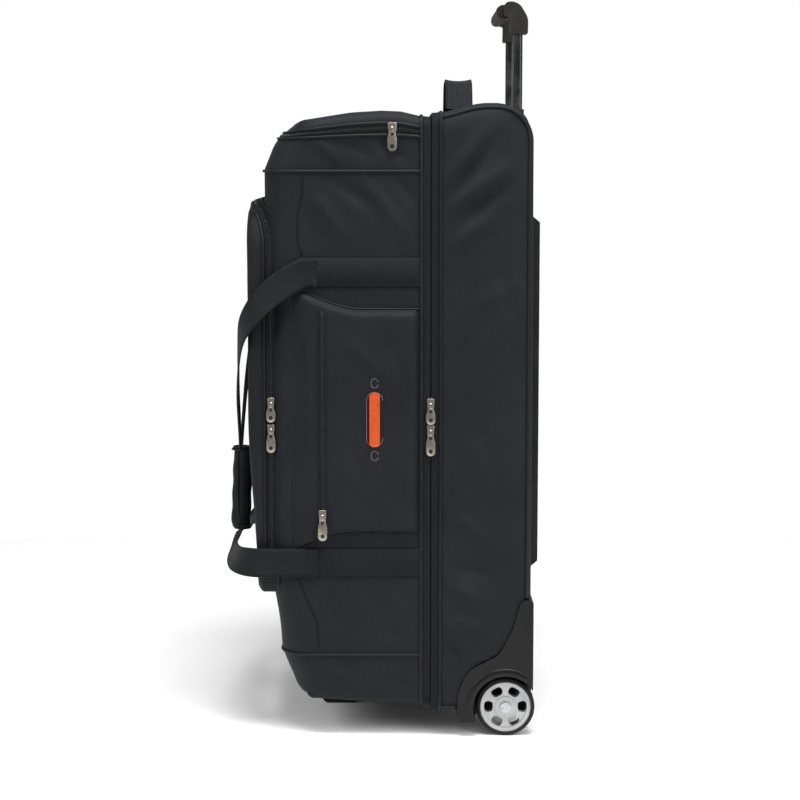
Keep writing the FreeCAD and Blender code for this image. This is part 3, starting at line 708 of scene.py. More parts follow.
# ---- pockets --------------------------------------------------------------------------
POCKET_FOLDS = [
    ((-60, 545), (20, 470), 14, 1.8), ((-50, 350), (30, 300), 14, 1.8),
    ((10, 540), (44, 440), 10, -1.6), ((-95, 540), (-84, 400), 8, 1.4),
    ((-40, 440), (-20, 330), 12, -1.2), ((20, 400), (44, 310), 12, 1.5),
]
POCKET_FRONT = -0.116


def pocket_seams(x):
    """Heights of the side pocket's lower and upper seams, which flare to the front."""
    flare = min(max((-0.027 - x) / 0.091, 0.0), 1.0)
    return POCKET_LOW.z - 0.031 * flare ** 2.2, POCKET_HIGH.z + 0.033 * flare ** 1.5


def side_pocket_form(point):
    """Takes a point of the pocket's box to the raised cloth on the case's side."""
    side = FAR if point.y > 0 else NEAR
    share = (point.z - POCKET_LOW.z) / (POCKET_HIGH.z - POCKET_LOW.z)
    low, high = pocket_seams(point.x)
    x, z = point.x, low + (high - low) * share
    base = front_form(Vector((x, side * HALF_WIDTH, z)))
    along = front_form(Vector((x + 0.004, side * HALF_WIDTH, z))) - base
    up = front_form(Vector((x, side * HALF_WIDTH, z + 0.004))) - base
    normal = along.cross(up).normalized() * -side
    depth = (abs(point.y) - HALF_WIDTH) / (POCKET_HIGH.y - POCKET_LOW.y)
    seam = min(z - low, high - z, POCKET_HIGH.x + 0.002 - x)
    rise = smooth(seam / 0.008 + 0.12) * smooth((x - POCKET_FRONT) / 0.028)
    quiet = 1 - 0.9 * bump(x, -0.074, 0.016)
    proud = relief(POCKET_FOLDS, x, z, side) * quiet * smooth(seam / 0.02)
    return base + normal * (depth * (rise * 0.0118 + proud) - 0.0008)


def make_side_pockets():
    """The raised pocket on each side of the front case."""
    for side, name in SIDES:
        depth = POCKET_HIGH.y - POCKET_LOW.y
        edges = sorted((side * HALF_WIDTH, side * (HALF_WIDTH + depth)))
        low = Vector((POCKET_FRONT, edges[0], POCKET_LOW.z))
        high = Vector((POCKET_HIGH.x + 0.002, edges[1], POCKET_HIGH.z))
        bm = gridded_box(low, high, 5 * MM)
        for vert in bm.verts:
            vert.co = side_pocket_form(vert.co)
        bmesh.ops.recalc_face_normals(bm, faces=bm.faces)
        add_object(bm, "side_pocket_cloth_" + name, ["oxford polyester"], "front_case",
                   ["side_pocket_" + name])


FRONT_POCKET_LOW, FRONT_POCKET_HIGH = span("front_pocket")
# The pocket's cloth runs on inside the front case's face, so that no gap shows.
FRONT_POCKET_BOX = (FRONT_POCKET_LOW,
                    Vector((-0.130, FRONT_POCKET_HIGH.y, FRONT_POCKET_HIGH.z)))


def front_pocket_form(point):
    """The front pocket: a full face with rounded corners, drawn in at the foot."""
    p = Vector(point)
    half = FRONT_POCKET_HIGH.y
    middle = (FRONT_POCKET_LOW.z + FRONT_POCKET_HIGH.z) / 2
    reach = (FRONT_POCKET_HIGH.z - FRONT_POCKET_LOW.z) / 2
    if p.x < FRONT_POCKET_LOW.x + 0.001:
        across, up = abs(p.y) / half, abs(p.z - middle) / reach
        soft = noise.noise(Vector((p.y * 9, p.z * 7, 3.3))) * 3.0
        soft += noise.noise(Vector((p.y * 31, p.z * 22, 8.1))) * 0.8
        p.x -= (soft - 1.5) * MM * (1 - across ** 4) * (1 - up ** 6)
    round_edge(p, (0, 2), (FRONT_POCKET_LOW.x, FRONT_POCKET_HIGH.z), (-1, 1), 17 * MM)
    round_edge(p, (0, 2), (FRONT_POCKET_LOW.x, FRONT_POCKET_LOW.z), (-1, -1), 12 * MM)
    for sign in (NEAR, FAR):
        round_edge(p, (0, 1), (FRONT_POCKET_LOW.x, sign * half), (-1, sign), 13 * MM)
        round_edge(p, (1, 2), (sign * half, FRONT_POCKET_HIGH.z), (sign, 1), 62 * MM)
        round_edge(p, (1, 2), (sign * half, FRONT_POCKET_LOW.z), (sign, -1), 30 * MM)
    forward = smooth((-0.150 - p.x) / 0.020)
    p.x += forward * 11 * MM * smooth((0.42 - p.z) / 0.22)
    return p


def pocket_zip_line(offset):
    """The front pocket's opening: up both sides, bending forward on its way over the top."""
    side, top = -FRONT_POCKET_HIGH.y, FRONT_POCKET_HIGH.z
    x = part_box("front_pocket_tape")
    x = (x[0][0] + x[1][0]) / 2 + offset
    bend = [(0, side, top - 53 * MM), (2.5, side, top - 36 * MM), (6, side, top - 18 * MM),
            (10, side, top), (15, side + 16 * MM, top), (20, side + 36 * MM, top),
            (23, side + 61 * MM, top)]
    edge = FRONT_POCKET_LOW.x + 1.5 * MM
    half = [(max(x - forward * MM, edge), y, z) for forward, y, z in bend]
    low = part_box("front_pocket_tape")[0][2]
    return ([(x, side, low)] + half + [(px, -py, pz) for px, py, pz in reversed(half)]
            + [(x, -side, low)])


def make_front_pocket():
    """The pocket over the whole front."""
    sewn_shell("front_pocket_cloth", front_pocket_form, FRONT_POCKET_BOX, 1, 2.5 * MM, 7 * MM,
               "front_case", ["front_pocket"])


# ---- piping and seams -----------------------------------------------------------------
ZIP_TO_SEAM = 13 * MM       # from the middle of the main zip to the cord beside it
# The seams down the front case's rounded corner, as (depth, height) in millimetres.
CORNER_SEAMS = (((-98, 741), (-99, 719), (-105, 690), (-105, 657), (-99, 638)),
                ((-112, 213), (-106, 192), (-101, 175), (-94, 159), (-94, 119)))


def run_piece(name, form, limits, lines, section, finish, body):
    """One piece from several lines of the same section laid on a form."""
    bm = bmesh.new()
    bm.loops.layers.uv.new("weave")
    for corners in lines:
        gather(bm, sweep(skin_run(form, limits, corners), section))
    add_object(bm, name, [finish], body)


def ring_round(x, limits):
    """Corners of a seam all round a case at one depth, from the middle of its underside."""
    low, high = limits
    wide = high.y
    return [(x, 0, low.z), (x, -wide, low.z), (x, -wide, high.z), (x, wide, high.z),
            (x, wide, low.z), (x, 0, low.z)]


def band_round(x, z, limits):
    """Corners of a level seam round the front of a case."""
    nose, wide = limits[0].x, limits[1].y
    return [(x, -wide, z), (nose, -wide, z), (nose, wide, z), (x, wide, z)]


def make_piping(sizes):
    """Every corded or stitched seam on the cases and the pockets."""
    cord = round_section(sizes.piping, sizes.piping * 0.45)
    front, rear = (FRONT_LOW, FRONT_HIGH), (REAR_LOW, REAR_HIGH)
    x = ZIP_X - ZIP_TO_SEAM
    lines = [band_round(x, z, front) for z in FRONT_SEAMS + TOP_ZIP_SEAMS]
    lines.append(ring_round(x, front))
    run_piece("front_case_piping", front_form, front, lines, cord, "bound piping", "front_case")
    x, inset = ZIP_X + ZIP_TO_SEAM, 5 * MM
    lines = [ring_round(x, rear)]
    for side in (-HALF_WIDTH, HALF_WIDTH):
        top, back = REAR_HIGH.z - inset, REAR_HIGH.x - inset
        lines.append([(x, side, top), (back, side, top), (back, side, 0.185)])
        lines.append([(x, side, REAR_LOW.z + inset), (0.102, side, REAR_LOW.z + inset)])
    run_piece("rear_case_piping", rear_form, rear, lines, cord, "bound piping", "rear_case")
    seams = [[(x * MM, side, z * MM) for x, z in seam]
             for side in (-HALF_WIDTH, HALF_WIDTH) for seam in CORNER_SEAMS]
    run_piece("corner_seams", front_form, front, seams, round_section(0.9 * MM, 0.3 * MM, 6),
              "knitted zip tape", "front_case")
    edge = FRONT_POCKET_BOX[1].x - 3.5 * MM
    rings = [ring_round(edge, FRONT_POCKET_BOX), pocket_zip_line(-8.5 * MM),
             pocket_zip_line(8.5 * MM)]
    run_piece("front_pocket_piping", front_pocket_form, FRONT_POCKET_BOX, rings, cord,
              "bound piping", "front_case")
    lines = []
    reach = HALF_WIDTH + 0.5 * MM
    for side in (NEAR, FAR):
        along = [(-108 + 10 * k) * MM for k in range(17)]
        lines.append([(x, side * reach, POCKET_LOW.z) for x in along]
                     + [(x, side * reach, POCKET_HIGH.z) for x in reversed(along)])
    limits = (Vector((POCKET_FRONT, -reach, POCKET_LOW.z)),
              Vector((POCKET_HIGH.x, reach, POCKET_HIGH.z)))
    run_piece("side_pocket_seams", side_pocket_seam_form, limits, lines,
              round_section(1.3 * MM, 0.9 * MM), "bound piping", "front_case")


def side_pocket_seam_form(point):
    """Lays the side pocket's level seams on its flared edges."""
    low, high = pocket_seams(point.x)
    z = low if point.z < (POCKET_LOW.z + POCKET_HIGH.z) / 2 else high
    z += (point.z - (POCKET_LOW.z if z == low else POCKET_HIGH.z))
    return front_form(Vector((point.x, math.copysign(HALF_WIDTH, point.y), z)))


# ---- zips -----------------------------------------------------------------------------
STITCH = (1.4 * MM, 0.35 * MM, 0.3 * MM)    # half length, half width, half height
COIL_TURN = (0.55 * MM, 1.5 * MM, 0.9 * MM)


def zip_band(name, form, limits, corners, body, replaces, sizes, edge=0.0, width=12 * MM):
    """Tape with its row of coil and two rows of stitches; edge -1 or 1 is half a zip."""
    frames = skin_run(form, limits, corners)
    tape = sweep(frames, strip_section(width, 1.1 * MM, 0.4 * MM))
    add_object(tape, name + "_tape", ["knitted zip tape"], body, replaces)
    half = width / 2
    coil_rows, stitch_rows = (-0.9 * MM, 0.9 * MM), (1.6 * MM - half, half - 1.6 * MM)
    if edge:
        coil_rows, stitch_rows = (edge * (half - 1.1 * MM),), (-edge * (half - 2.2 * MM),)
    for part, finish, rows, pitch, size, lift, wobble in (
            ("_coil", "nylon coil", coil_rows, sizes.coil_pitch, COIL_TURN, 1.5 * MM, 0.25),
            ("_stitches", "sewing thread", stitch_rows, sizes.stitch_pitch, STITCH, 1.1 * MM, 0)):
        bm = bmesh.new()
        for row in rows:
            gather(bm, beads(frames, pitch, size, row, lift, wobble))
        add_object(bm, name + part, [finish], body)


POCKET_HIGH_OUT = HALF_WIDTH + POCKET_HIGH.y - POCKET_LOW.y


def make_zips(sizes):
    """The main zip's two halves, then the top, front and side pockets' zips."""
    wide = HALF_WIDTH
    half = 12 * MM
    stop = wide - 20 * MM
    for name, form, limits, sign, nodes in (
            ("front_case", front_form, (FRONT_LOW, FRONT_HIGH), -1, ["front_zip_tape"]),
            ("rear_case", rear_form, (REAR_LOW, REAR_HIGH), 1, ["rear_zip_tape"])):
        x = ZIP_X + sign * (half / 2 + 0.5 * MM)
        low, high = limits[0].z, limits[1].z
        zip_band(name + "_zip", form, limits,
                 [(x, stop, low), (x, -wide, low), (x, -wide, high), (x, stop, high)],
                 name, nodes, sizes, edge=-sign, width=half)
    front = (FRONT_LOW, FRONT_HIGH)
    low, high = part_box("top_zip_tape")
    zip_band("top_pocket_zip", front_form, front,
             band_round(ZIP_X - 14 * MM, (low[2] + high[2]) / 2, front), "front_case",
             ["top_zip_tape"], sizes, width=14 * MM)
    zip_band("front_pocket_zip", front_pocket_form, FRONT_POCKET_BOX, pocket_zip_line(0),
             "front_case", ["front_pocket_tape"], sizes)
    low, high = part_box("side_pocket_tapes")
    x = (low[0] + high[0]) / 2
    limits = (Vector((POCKET_FRONT, -POCKET_HIGH_OUT, POCKET_LOW.z)),
              Vector((POCKET_HIGH.x, POCKET_HIGH_OUT, POCKET_HIGH.z)))
    for side, name in SIDES:
        y = side * POCKET_HIGH_OUT
        zip_band("side_pocket_zip_" + name, side_pocket_form, limits,
                 [(x, y, low[2]), (x, y, high[2])], "front_case",
                 ["side_pocket_tapes"] if side == NEAR else [], sizes)


PULLS = [(name + "_slider", name + "_tab", NEAR) for name in
         ("main_upper", "main_lower", "front_upper", "front_lower", "top")]
PULLS += [("side_slider_" + name, "side_tab_" + name, side) for side, name in SIDES]
# The slider's bridge, as (share of its half length, share of its depth).
BRIDGE = [(-0.30, 0.42), (-0.30, 0.80), (-0.16, 1.0), (0.50, 1.0), (0.72, 0.86), (0.72, 0.42)]


def drawn_out(points, vec):
    """A closed solid: the face through the points, drawn out along vec."""
    bm = bmesh.new()
    face = bm.faces.new([bm.verts.new(point) for point in points])
    grown = bmesh.ops.extrude_face_region(bm, geom=[face])["geom"]
    moved = [g for g in grown if isinstance(g, bmesh.types.BMVert)]
    bmesh.ops.translate(bm, verts=moved, vec=vec)
    bmesh.ops.recalc_face_normals(bm, faces=bm.faces)
    return bm


def soften(bm, edges, width):
    """Rounds a casting's edges."""
    bmesh.ops.bevel(bm, geom=edges, offset=width, segments=2, profile=0.5, affect="EDGES",
                    material=-1)


def rounded_bar(outline, low_y, high_y, round_off):
    """A flat plate standing in the XZ plane, from its outline, with softened edges."""
    bm = drawn_out([(x, low_y, z) for x, z in outline], (0, high_y - low_y, 0))
    flat = [e for e in bm.edges if abs(e.verts[0].co.y - e.verts[1].co.y) < 1e-6]
    soften(bm, flat, round_off)
    return bm


def round_end(x, z, radius, start, end, parts=8):
    """Points of an arc in the XZ plane, in degrees."""
    turns = [math.radians(start + (end - start) * k / parts) for k in range(parts + 1)]
    return [(x + radius * math.cos(t), z + radius * math.sin(t)) for t in turns]


def slider_form(low, high, side):
    """The cast slider: its plate, narrower at the foot, and the bridge on its face."""
    centre = (low + high) / 2
    face, back = (low.y, high.y) if side == NEAR else (high.y, low.y)
    deep = face - back
    half_x, half_z = (high.x - low.x) / 2, (high.z - low.z) / 2
    outline = []
    corner = 1.8 * MM
    for x_sign, z_sign, start in ((1, 1, 0), (-1, 1, 90), (-1, -1, 180), (1, -1, 270)):
        waist = 0.82 if z_sign < 0 else 1.0
        outline += round_end(centre.x + x_sign * (half_x * waist - corner),
                             centre.z + z_sign * (half_z - corner), corner, start, start + 90, 4)
    bm = rounded_bar(outline, back, back + deep * 0.42, 0.4 * MM)
    arch = drawn_out([(centre.x - 1.5 * MM, back + deep * out, centre.z - half_z * along)
                      for along, out in BRIDGE], (3 * MM, 0, 0))
    soften(arch, arch.edges[:], 0.35 * MM)
    gather(bm, arch)
    return bm


def tab_form(low, high, side):
    """The tab: a flat drop with a narrow neck and two rims, each round a disc of painted shade.
    """
    middle, y_mid = (low.x + high.x) / 2, (low.y + high.y) / 2
    half = (high.x - low.x) / 2
    neck, shoulder = half * 0.72, low.z + (high.z - low.z) * 0.62
    outline = round_end(middle, low.z + half, half, 180, 360) + [(middle + half, shoulder)]
    outline += round_end(middle, high.z - neck, neck, 20, 160) + [(middle - half, shoulder)]
    thick = min(high.y - low.y, 1.5 * MM) / 2
    bm = rounded_bar(outline, y_mid - thick, y_mid + thick, 0.35 * MM)
    for z, radius, rim in ((low.z + half * 1.05, half * 0.46, 0.72 * MM),
                           (high.z - neck, neck * 0.5, 0.64 * MM)):
        ring = []
        for x, height in round_end(middle, z, radius, 0, 360, 16):
            out = (Vector((x, 0, height)) - Vector((middle, 0, z))).normalized()
            ring.append((Vector((x, y_mid, height)), Vector((0, 1, 0)), out))
        gather(bm, sweep(ring, round_section(rim, 0.0, 6)))
        # The hole is not cut: a dark disc on the face is its painted shade.
        disc = bmesh.new()
        place = Matrix.Translation((middle, y_mid + side * (thick + 0.05 * MM), z))
        bmesh.ops.create_circle(disc, cap_ends=True, segments=16, radius=radius,
                                matrix=place @ Matrix.Rotation(math.pi / 2, 4, "X"))
        gather(bm, disc)
    return bm


def make_pulls():
    """Each zip's cast slider with its bridge, and the tab that hangs from it."""
    # The dark nylon coil also paints the shade in the tabs' holes.
    finishes = ["warm nickel plate", "nylon coil"]
    for slider, tab, side in PULLS:
        for node, form in ((slider, slider_form), (tab, tab_form)):
            low, high = [Vector(corner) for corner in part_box(node)]
            piece = add_object(form(low, high, side), node + "_cast",
                               finishes if node == tab else finishes[:1], node, [node])
        for face in piece.data.polygons:
            if len(face.vertices) == 16:        # the dark disc: the painted shade of a hole
                face.material_index = 1


def make_hinge_gusset():
    """Woven tape down the far side, on which the front case swings."""
    low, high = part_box("hinge_gusset")
    section = [(x * MM, 0) for x in (-13, -8, -4, 0, 4, 8, 13)]
    section += [(a, 1.0 * MM) for a, b in reversed(section)]
    bottom, top = 0.058, 0.806
    frames = [(Vector((ZIP_X, HALF_WIDTH + 0.2 * MM, bottom + (top - bottom) * k / 80)),
               Vector((1, 0, 0)), Vector((0, 1, 0))) for k in range(81)]
    piece = add_object(sweep(frames, section), "hinge_tape", ["knitted zip tape"], None,
                       ["hinge_gusset"])
    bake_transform(piece)


# ---- webbing --------------------------------------------------------------------------
def spline(points, parts):
    """Even places along a smooth line through given points."""
    points = [Vector(p) * MM for p in points]
    ends = [points[0] * 2 - points[1]] + points + [points[-1] * 2 - points[-2]]
    line = []
    for k in range(1, len(ends) - 2):
        a, b, c, d = ends[k - 1:k + 3]
        for j in range(parts):
            t = j / parts
            line.append(0.5 * ((2 * b) + (c - a) * t + (2 * a - 5 * b + 4 * c - d) * t * t
                               + (3 * b - a - 3 * c + d) * t ** 3))
    line.append(points[-1])
    return line


def run_frames(line, out_at, width_at=lambda share: 1.0):
    """Frames along a strap: out_at gives its face's direction, width_at its width."""
    frames = []
    total = len(line) - 1
    for k, place in enumerate(line):
        tangent = (line[min(k + 1, total)] - line[max(k - 1, 0)]).normalized()
        across = out_at(k / total).cross(tangent).normalized()
        frames.append((place, across * width_at(k / total), tangent.cross(across).normalized()))
    return frames


def bowed_section(width, thick, sag):
    """Webbing that dips along its middle."""
    half = width / 2
    under = [(half * k / 4, -sag * (1 - (k / 4) ** 2)) for k in range(-4, 5)]
    return under + [(a * 0.96, b + thick) for a, b in reversed(under)]


UPPER_LOOP = [(-80, -202, 616), (-97, -203.5, 615), (-116, -205, 606), (-140, -205, 589),
              (-162, -200, 566), (-179, -180, 538), (-187, -136, 498), (-192, -84, 450),
              (-194, -40, 402), (-195, -13, 366)]
LOWER_LOOP = [(-80, -202, 235), (-100, -203.5, 235), (-138, -205, 235), (-168, -200, 235),
              (-188, -174, 234), (-198, -124, 231), (-202, -72, 230), (-201, -36, 232),
              (-198, -12, 242)]


WEBBING_STITCH = (1.5 * MM, 0.4 * MM, 0.35 * MM)


def make_webbing(sizes):
    """The two sewn runs on each side, with their rows of stitches."""
    width, thick = sizes.webbing_width, sizes.webbing_thick
    row_at = width / 2 - 3 * MM
    for side, name in SIDES:
        bm, thread = bmesh.new(), bmesh.new()
        bm.loops.layers.uv.new("weave")
        y = side * HALF_WIDTH
        for z in WEBBING_LEVELS:
            frames = skin_run(front_form, (FRONT_LOW, FRONT_HIGH),
                              [(ZIP_X - 14 * MM, y, z), (-0.107, y, z)], 5 * MM)
            gather(bm, sweep(frames, strip_section(width, thick)))
            for row in (-row_at, row_at):
                gather(thread, beads(frames, sizes.stitch_pitch, WEBBING_STITCH, row, thick))
            # Double rows across the webbing tack it down; the lower run has two such tacks.
            for x in (-0.056, -0.059, -0.088, -0.091)[:4 if z < 0.4 else 2]:
                ends = [(front_form(Vector((x, y, z + sign * row_at))), Vector((1, 0, 0)),
                         Vector((0, side, 0))) for sign in (-1, 1)]
                gather(thread, beads(ends, sizes.stitch_pitch, WEBBING_STITCH, 0, thick))
        add_object(bm, "side_webbing_" + name, ["polypropylene webbing"], "front_case",
                   ["webbing_" + name])
        add_object(thread, "webbing_stitches_" + name, ["sewing thread"], "front_case")


def make_carry_straps(sizes):
    """Four webbing straps, from the sewn runs round the corners to the padded wrap."""
    bm = bmesh.new()
    bm.loops.layers.uv.new("weave")
    section = bowed_section(sizes.webbing_width, sizes.webbing_thick, 1.2 * MM)
    for route in (UPPER_LOOP, LOWER_LOOP):
        for side in (NEAR, FAR):
            line = spline([(x, -y * side, z) for x, y, z in route], 7)
            if route is UPPER_LOOP:
                last, narrow, start = Vector((-1, 0, 0)), 0.55, 0.7
            else:
                last, narrow, start = Vector((-0.8, 0.4 * side, 0.45)), 0.5, 0.35
            first = Vector((0, side, 0))
            frames = run_frames(
                line, lambda share: first.lerp(last, smooth(share * 1.25)).normalized(),
                lambda share: 1 + (narrow - 1) * smooth((share - start) / (1 - start)))
            gather(bm, sweep(frames, section))
    piece = add_object(bm, "carry_straps", ["polypropylene webbing"], None,
                       ["handle_loop_near", "handle_loop_far"])
    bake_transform(piece)


def make_grab_strap():
    """The short strap over the top, bowed across and sewn down at both ends."""
    low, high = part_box("grab_strap")
    middle = (low[0] + high[0]) / 2 / MM
    cloth = rear_form(Vector((middle * MM, -0.098, REAR_HIGH.z))).z / MM
    route = [(middle, y, z) for y, z in ((-104, cloth), (-92, cloth + 1), (-81, 840), (-69, 857),
                                         (-48, 865), (0, 867))]
    route += [(x, -y, z) for x, y, z in reversed(route[:-1])]
    line = spline(route, 6)
    frames = []
    for k, place in enumerate(line):
        tangent = (line[min(k + 1, len(line) - 1)] - line[max(k - 1, 0)]).normalized()
        across = Vector((-1, 0, 0))
        frames.append((place, across, tangent.cross(across)))
    piece = add_object(sweep(frames, bowed_section(36 * MM, 2.4 * MM, 2.2 * MM)),
                       "grab_strap_webbing", ["polypropylene webbing"], None,
                       ["grab_strap"])
    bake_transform(piece)


WRAP_REACH = 13.6       # radius of the padded wrap, in millimetres


def make_wrap():
    """The padded wrap that gathers the four straps, swelled as stuffed cloth."""
    low, high = [Vector(corner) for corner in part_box("grip_wrap")]
    centre = (low + high) / 2
    tall = high.z - low.z
    bm = bmesh.new()
    bmesh.ops.create_cone(bm, cap_ends=True, segments=24, radius1=1.0, radius2=1.0, depth=1.0)
    upright = [e for e in bm.edges if abs(e.verts[0].co.z - e.verts[1].co.z) > 0.5]
    bmesh.ops.subdivide_edges(bm, edges=upright, cuts=26, use_grid_fill=True)
    for vert in bm.verts:
        v = vert.co
        reach = WRAP_REACH * MM * (1 - 0.28 * smooth((abs(v.z) * 2 - 0.86) / 0.14))
        wave = 0.6 * MM * math.sin(v.z * 21) + v.z * 5 * MM
        vert.co = centre + Vector((v.x * reach + wave, v.y * (reach + 1.5 * MM),
                                   v.z * tall * 0.98))
    bmesh.ops.recalc_face_normals(bm, faces=bm.faces)
    piece = add_object(bm, "padded_wrap", ["oxford polyester"], None,
                       ["grip_wrap"])
    swell(piece, 3 * MM, 3 * MM)
    add_modifier(piece, "SUBSURF", levels=1, render_levels=1)
    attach(piece, "carry_handle")

    bm = bmesh.new()
    bm.loops.layers.uv.new("weave")
    for height, reach in ((-0.46, 12.6), (0.46, 12.6), (-0.485, 10.6), (0.485, 10.6)):
        ring = []
        for k in range(33):
            out = Vector((math.cos(math.tau * k / 32), math.sin(math.tau * k / 32), 0))
            ring.append((centre + out * reach * MM + Vector((0, 0, height * tall)),
                         Vector((0, 0, 1)), out))
        gather(bm, sweep(ring, round_section(1.5 * MM, 0.4 * MM)))
    # The wrap's closing edge runs down its near side.
    out, across = Vector((-0.3, -0.954, 0)), Vector((-0.954, 0.3, 0))
    flap = []
    for share in [k / 20 for k in range(21)]:
        reach = (WRAP_REACH + 2.4 * math.sin(share * math.pi)) * MM
        rise = Vector((0, 0, (share - 0.5) * tall * 0.9))
        flap.append((centre + out * reach + rise, across, out))
    gather(bm, sweep(flap, round_section(1.2 * MM, 0.0)))
    add_object(bm, "wrap_binding", ["bound piping"], "carry_handle")


SWELL_FRAMES = 20


def swell(piece, voxel, cap):
    """Inflates a closed pad with a short cloth simulation, then keeps its mesh."""
    scene = bpy.context.scene
    add_modifier(piece, "REMESH", mode="VOXEL", voxel_size=voxel)
    apply_modifiers(piece)
    start = [v.co.copy() for v in piece.data.vertices]
    cloth = piece.modifiers.new("Cloth", "CLOTH")
    cloth.settings.use_pressure = True
    cloth.settings.uniform_pressure_force = 4.0
    cloth.settings.effector_weights.gravity = 0.0
    for number in range(1, SWELL_FRAMES + 1):
        scene.frame_set(number)
    apply_modifiers(piece)
    for vert, before in zip(piece.data.vertices, start):
        move = vert.co - before
        if move.length > cap:
            vert.co = before + move * (cap / move.length)
    scene.frame_set(1)
    piece.data.shade_smooth()


def apply_modifiers(piece):
    """Keeps the mesh as its modifiers leave it."""
    graph = bpy.context.evaluated_depsgraph_get()
    mesh = bpy.data.meshes.new_from_object(piece.evaluated_get(graph))
    piece.modifiers.clear()
    piece.data = mesh


# ---- badge and trims ------------------------------------------------------------------
ARCH_REACH = 47.5 * MM      # from the wheel's middle to the arch over it
ARCH_SECTION = [(a * MM, b * MM) for a, b in
                ((-4.5, -0.6), (-3.4, 0.5), (-1, 1.5), (1.4, 1.5), (4, 0.5), (8, -0.6))]


def make_guard_lips():
    """The raised arch that each wheel guard has over its wheel."""
    for side, name in SIDES:
        low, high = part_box("wheel_hub_" + name)
        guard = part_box("wheel_housing_" + name)
        face = guard[side > 0][1]
        middle = Vector(((low[0] + high[0]) / 2, face, (low[2] + high[2]) / 2))
        frames = []
        for k in range(49):
            turn = math.radians(44 + 146 * k / 48)
            out = Vector((math.cos(turn), 0, math.sin(turn)))
            place = middle + out * ARCH_REACH
            if place.x < guard[1][0] - 6 * MM and place.z > 8 * MM:
                frames.append((place, out, Vector((0, side, 0))))
        add_object(sweep(frames, ARCH_SECTION), "guard_arch_" + name, ["glossy guard plastic"],
                   "rear_case")


BADGE_X, BADGE_Z = -5.9, 425.5          # the badge's middle, in millimetres
BADGE_SIZE = (13.7 * MM, 2.4 * MM, 71 * MM)
# The stitched outlines by it, as (middle's height, half its length, half its width).
BADGE_OUTLINES = ((BADGE_Z, 35.5, 10.5), (378, 6, 4.5), (473, 6, 4.5))


def make_badge():
    """A plain moulded bar sewn to the side pocket, with a raised rim."""
    bm = bmesh.new()
    bmesh.ops.create_cube(bm, size=1.0)
    bmesh.ops.scale(bm, vec=BADGE_SIZE, verts=bm.verts)
    corners = [e for e in bm.edges if abs(e.verts[0].co.y - e.verts[1].co.y) > 1 * MM]
    bmesh.ops.bevel(bm, geom=corners, offset=5 * MM, segments=6, profile=0.5, affect="EDGES",
                    material=-1)
    front = [f for f in bm.faces if f.normal.y < -0.9]
    bmesh.ops.inset_region(bm, faces=front, thickness=1.2 * MM, depth=0.0)
    front = [f for f in bm.faces if f.normal.y < -0.9 and f.calc_area() > 0.0003]
    bmesh.ops.inset_region(bm, faces=front, thickness=0.5 * MM, depth=-0.6 * MM)
    bmesh.ops.translate(bm, verts=bm.verts,
                        vec=(BADGE_X * MM, -HALF_WIDTH - 13 * MM, BADGE_Z * MM))
    piece = add_object(bm, "badge_bar", ["moulded badge rubber"], "front_case",
                       flat=True)
    add_modifier(piece, "BEVEL", width=0.4 * MM, segments=2, limit_method="ANGLE")
    bm = bmesh.new()
    out, parts = Vector((0, -1, 0)), 40
    for middle, reach, radius in BADGE_OUTLINES:
        line = []
        for turn in [math.tau * k / parts for k in range(parts + 1)]:
            x = BADGE_X + radius * math.cos(turn)
            z = middle + math.copysign(reach - radius, math.sin(turn)) + radius * math.sin(turn)
            line.append(side_pocket_form(Vector((x * MM, -POCKET_HIGH_OUT, z * MM))))
        around = [(place, out.cross(line[min(k + 1, parts)] - line[max(k - 1, 0)]).normalized(),
                   out) for k, place in enumerate(line)]
        gather(bm, beads(around, 2.6 * MM, (1.1 * MM, 0.35 * MM, 0.3 * MM), 0, 0.2 * MM))
    add_object(bm, "badge_outlines", ["badge thread"], "front_case")


# ---- sizes, colours and the panel -----------------------------------------------------
def length(name, description, millimetres):
    """A size property; its default is given in millimetres."""
    return bpy.props.FloatProperty(name=name, description=description, default=millimetres * MM,
                                   min=0.0, precision=5, subtype="DISTANCE", unit="LENGTH")


def amount(name, description, default, **units):
    """A plain number property."""
    return bpy.props.FloatProperty(name=name, description=description, default=default, min=0.0,
                                   **units)


def tint(name, description, hex_colour):
    """A colour property; its default is a web colour."""
    return bpy.props.FloatVectorProperty(name=name, description=description, size=4, min=0.0,
                                         max=1.0, subtype="COLOR", default=linear(hex_colour))


class DuffelSizes(bpy.types.PropertyGroup):
    webbing_width: length("Webbing width", "Width of the side straps", 38.0)
    webbing_thick: length("Webbing thickness", "Thickness of the side straps", 2.3)
    piping: length("Piping radius", "Radius of the corded seams", 2.0)
    coil_pitch: length("Coil pitch", "Distance between two turns of a zip's coil", 2.2)
    stitch_pitch: length("Stitch pitch", "Distance between two stitches", 4.4)
    cloth_grid: length("Cloth grid", "Width of one square of the cases' mesh", 6.5)


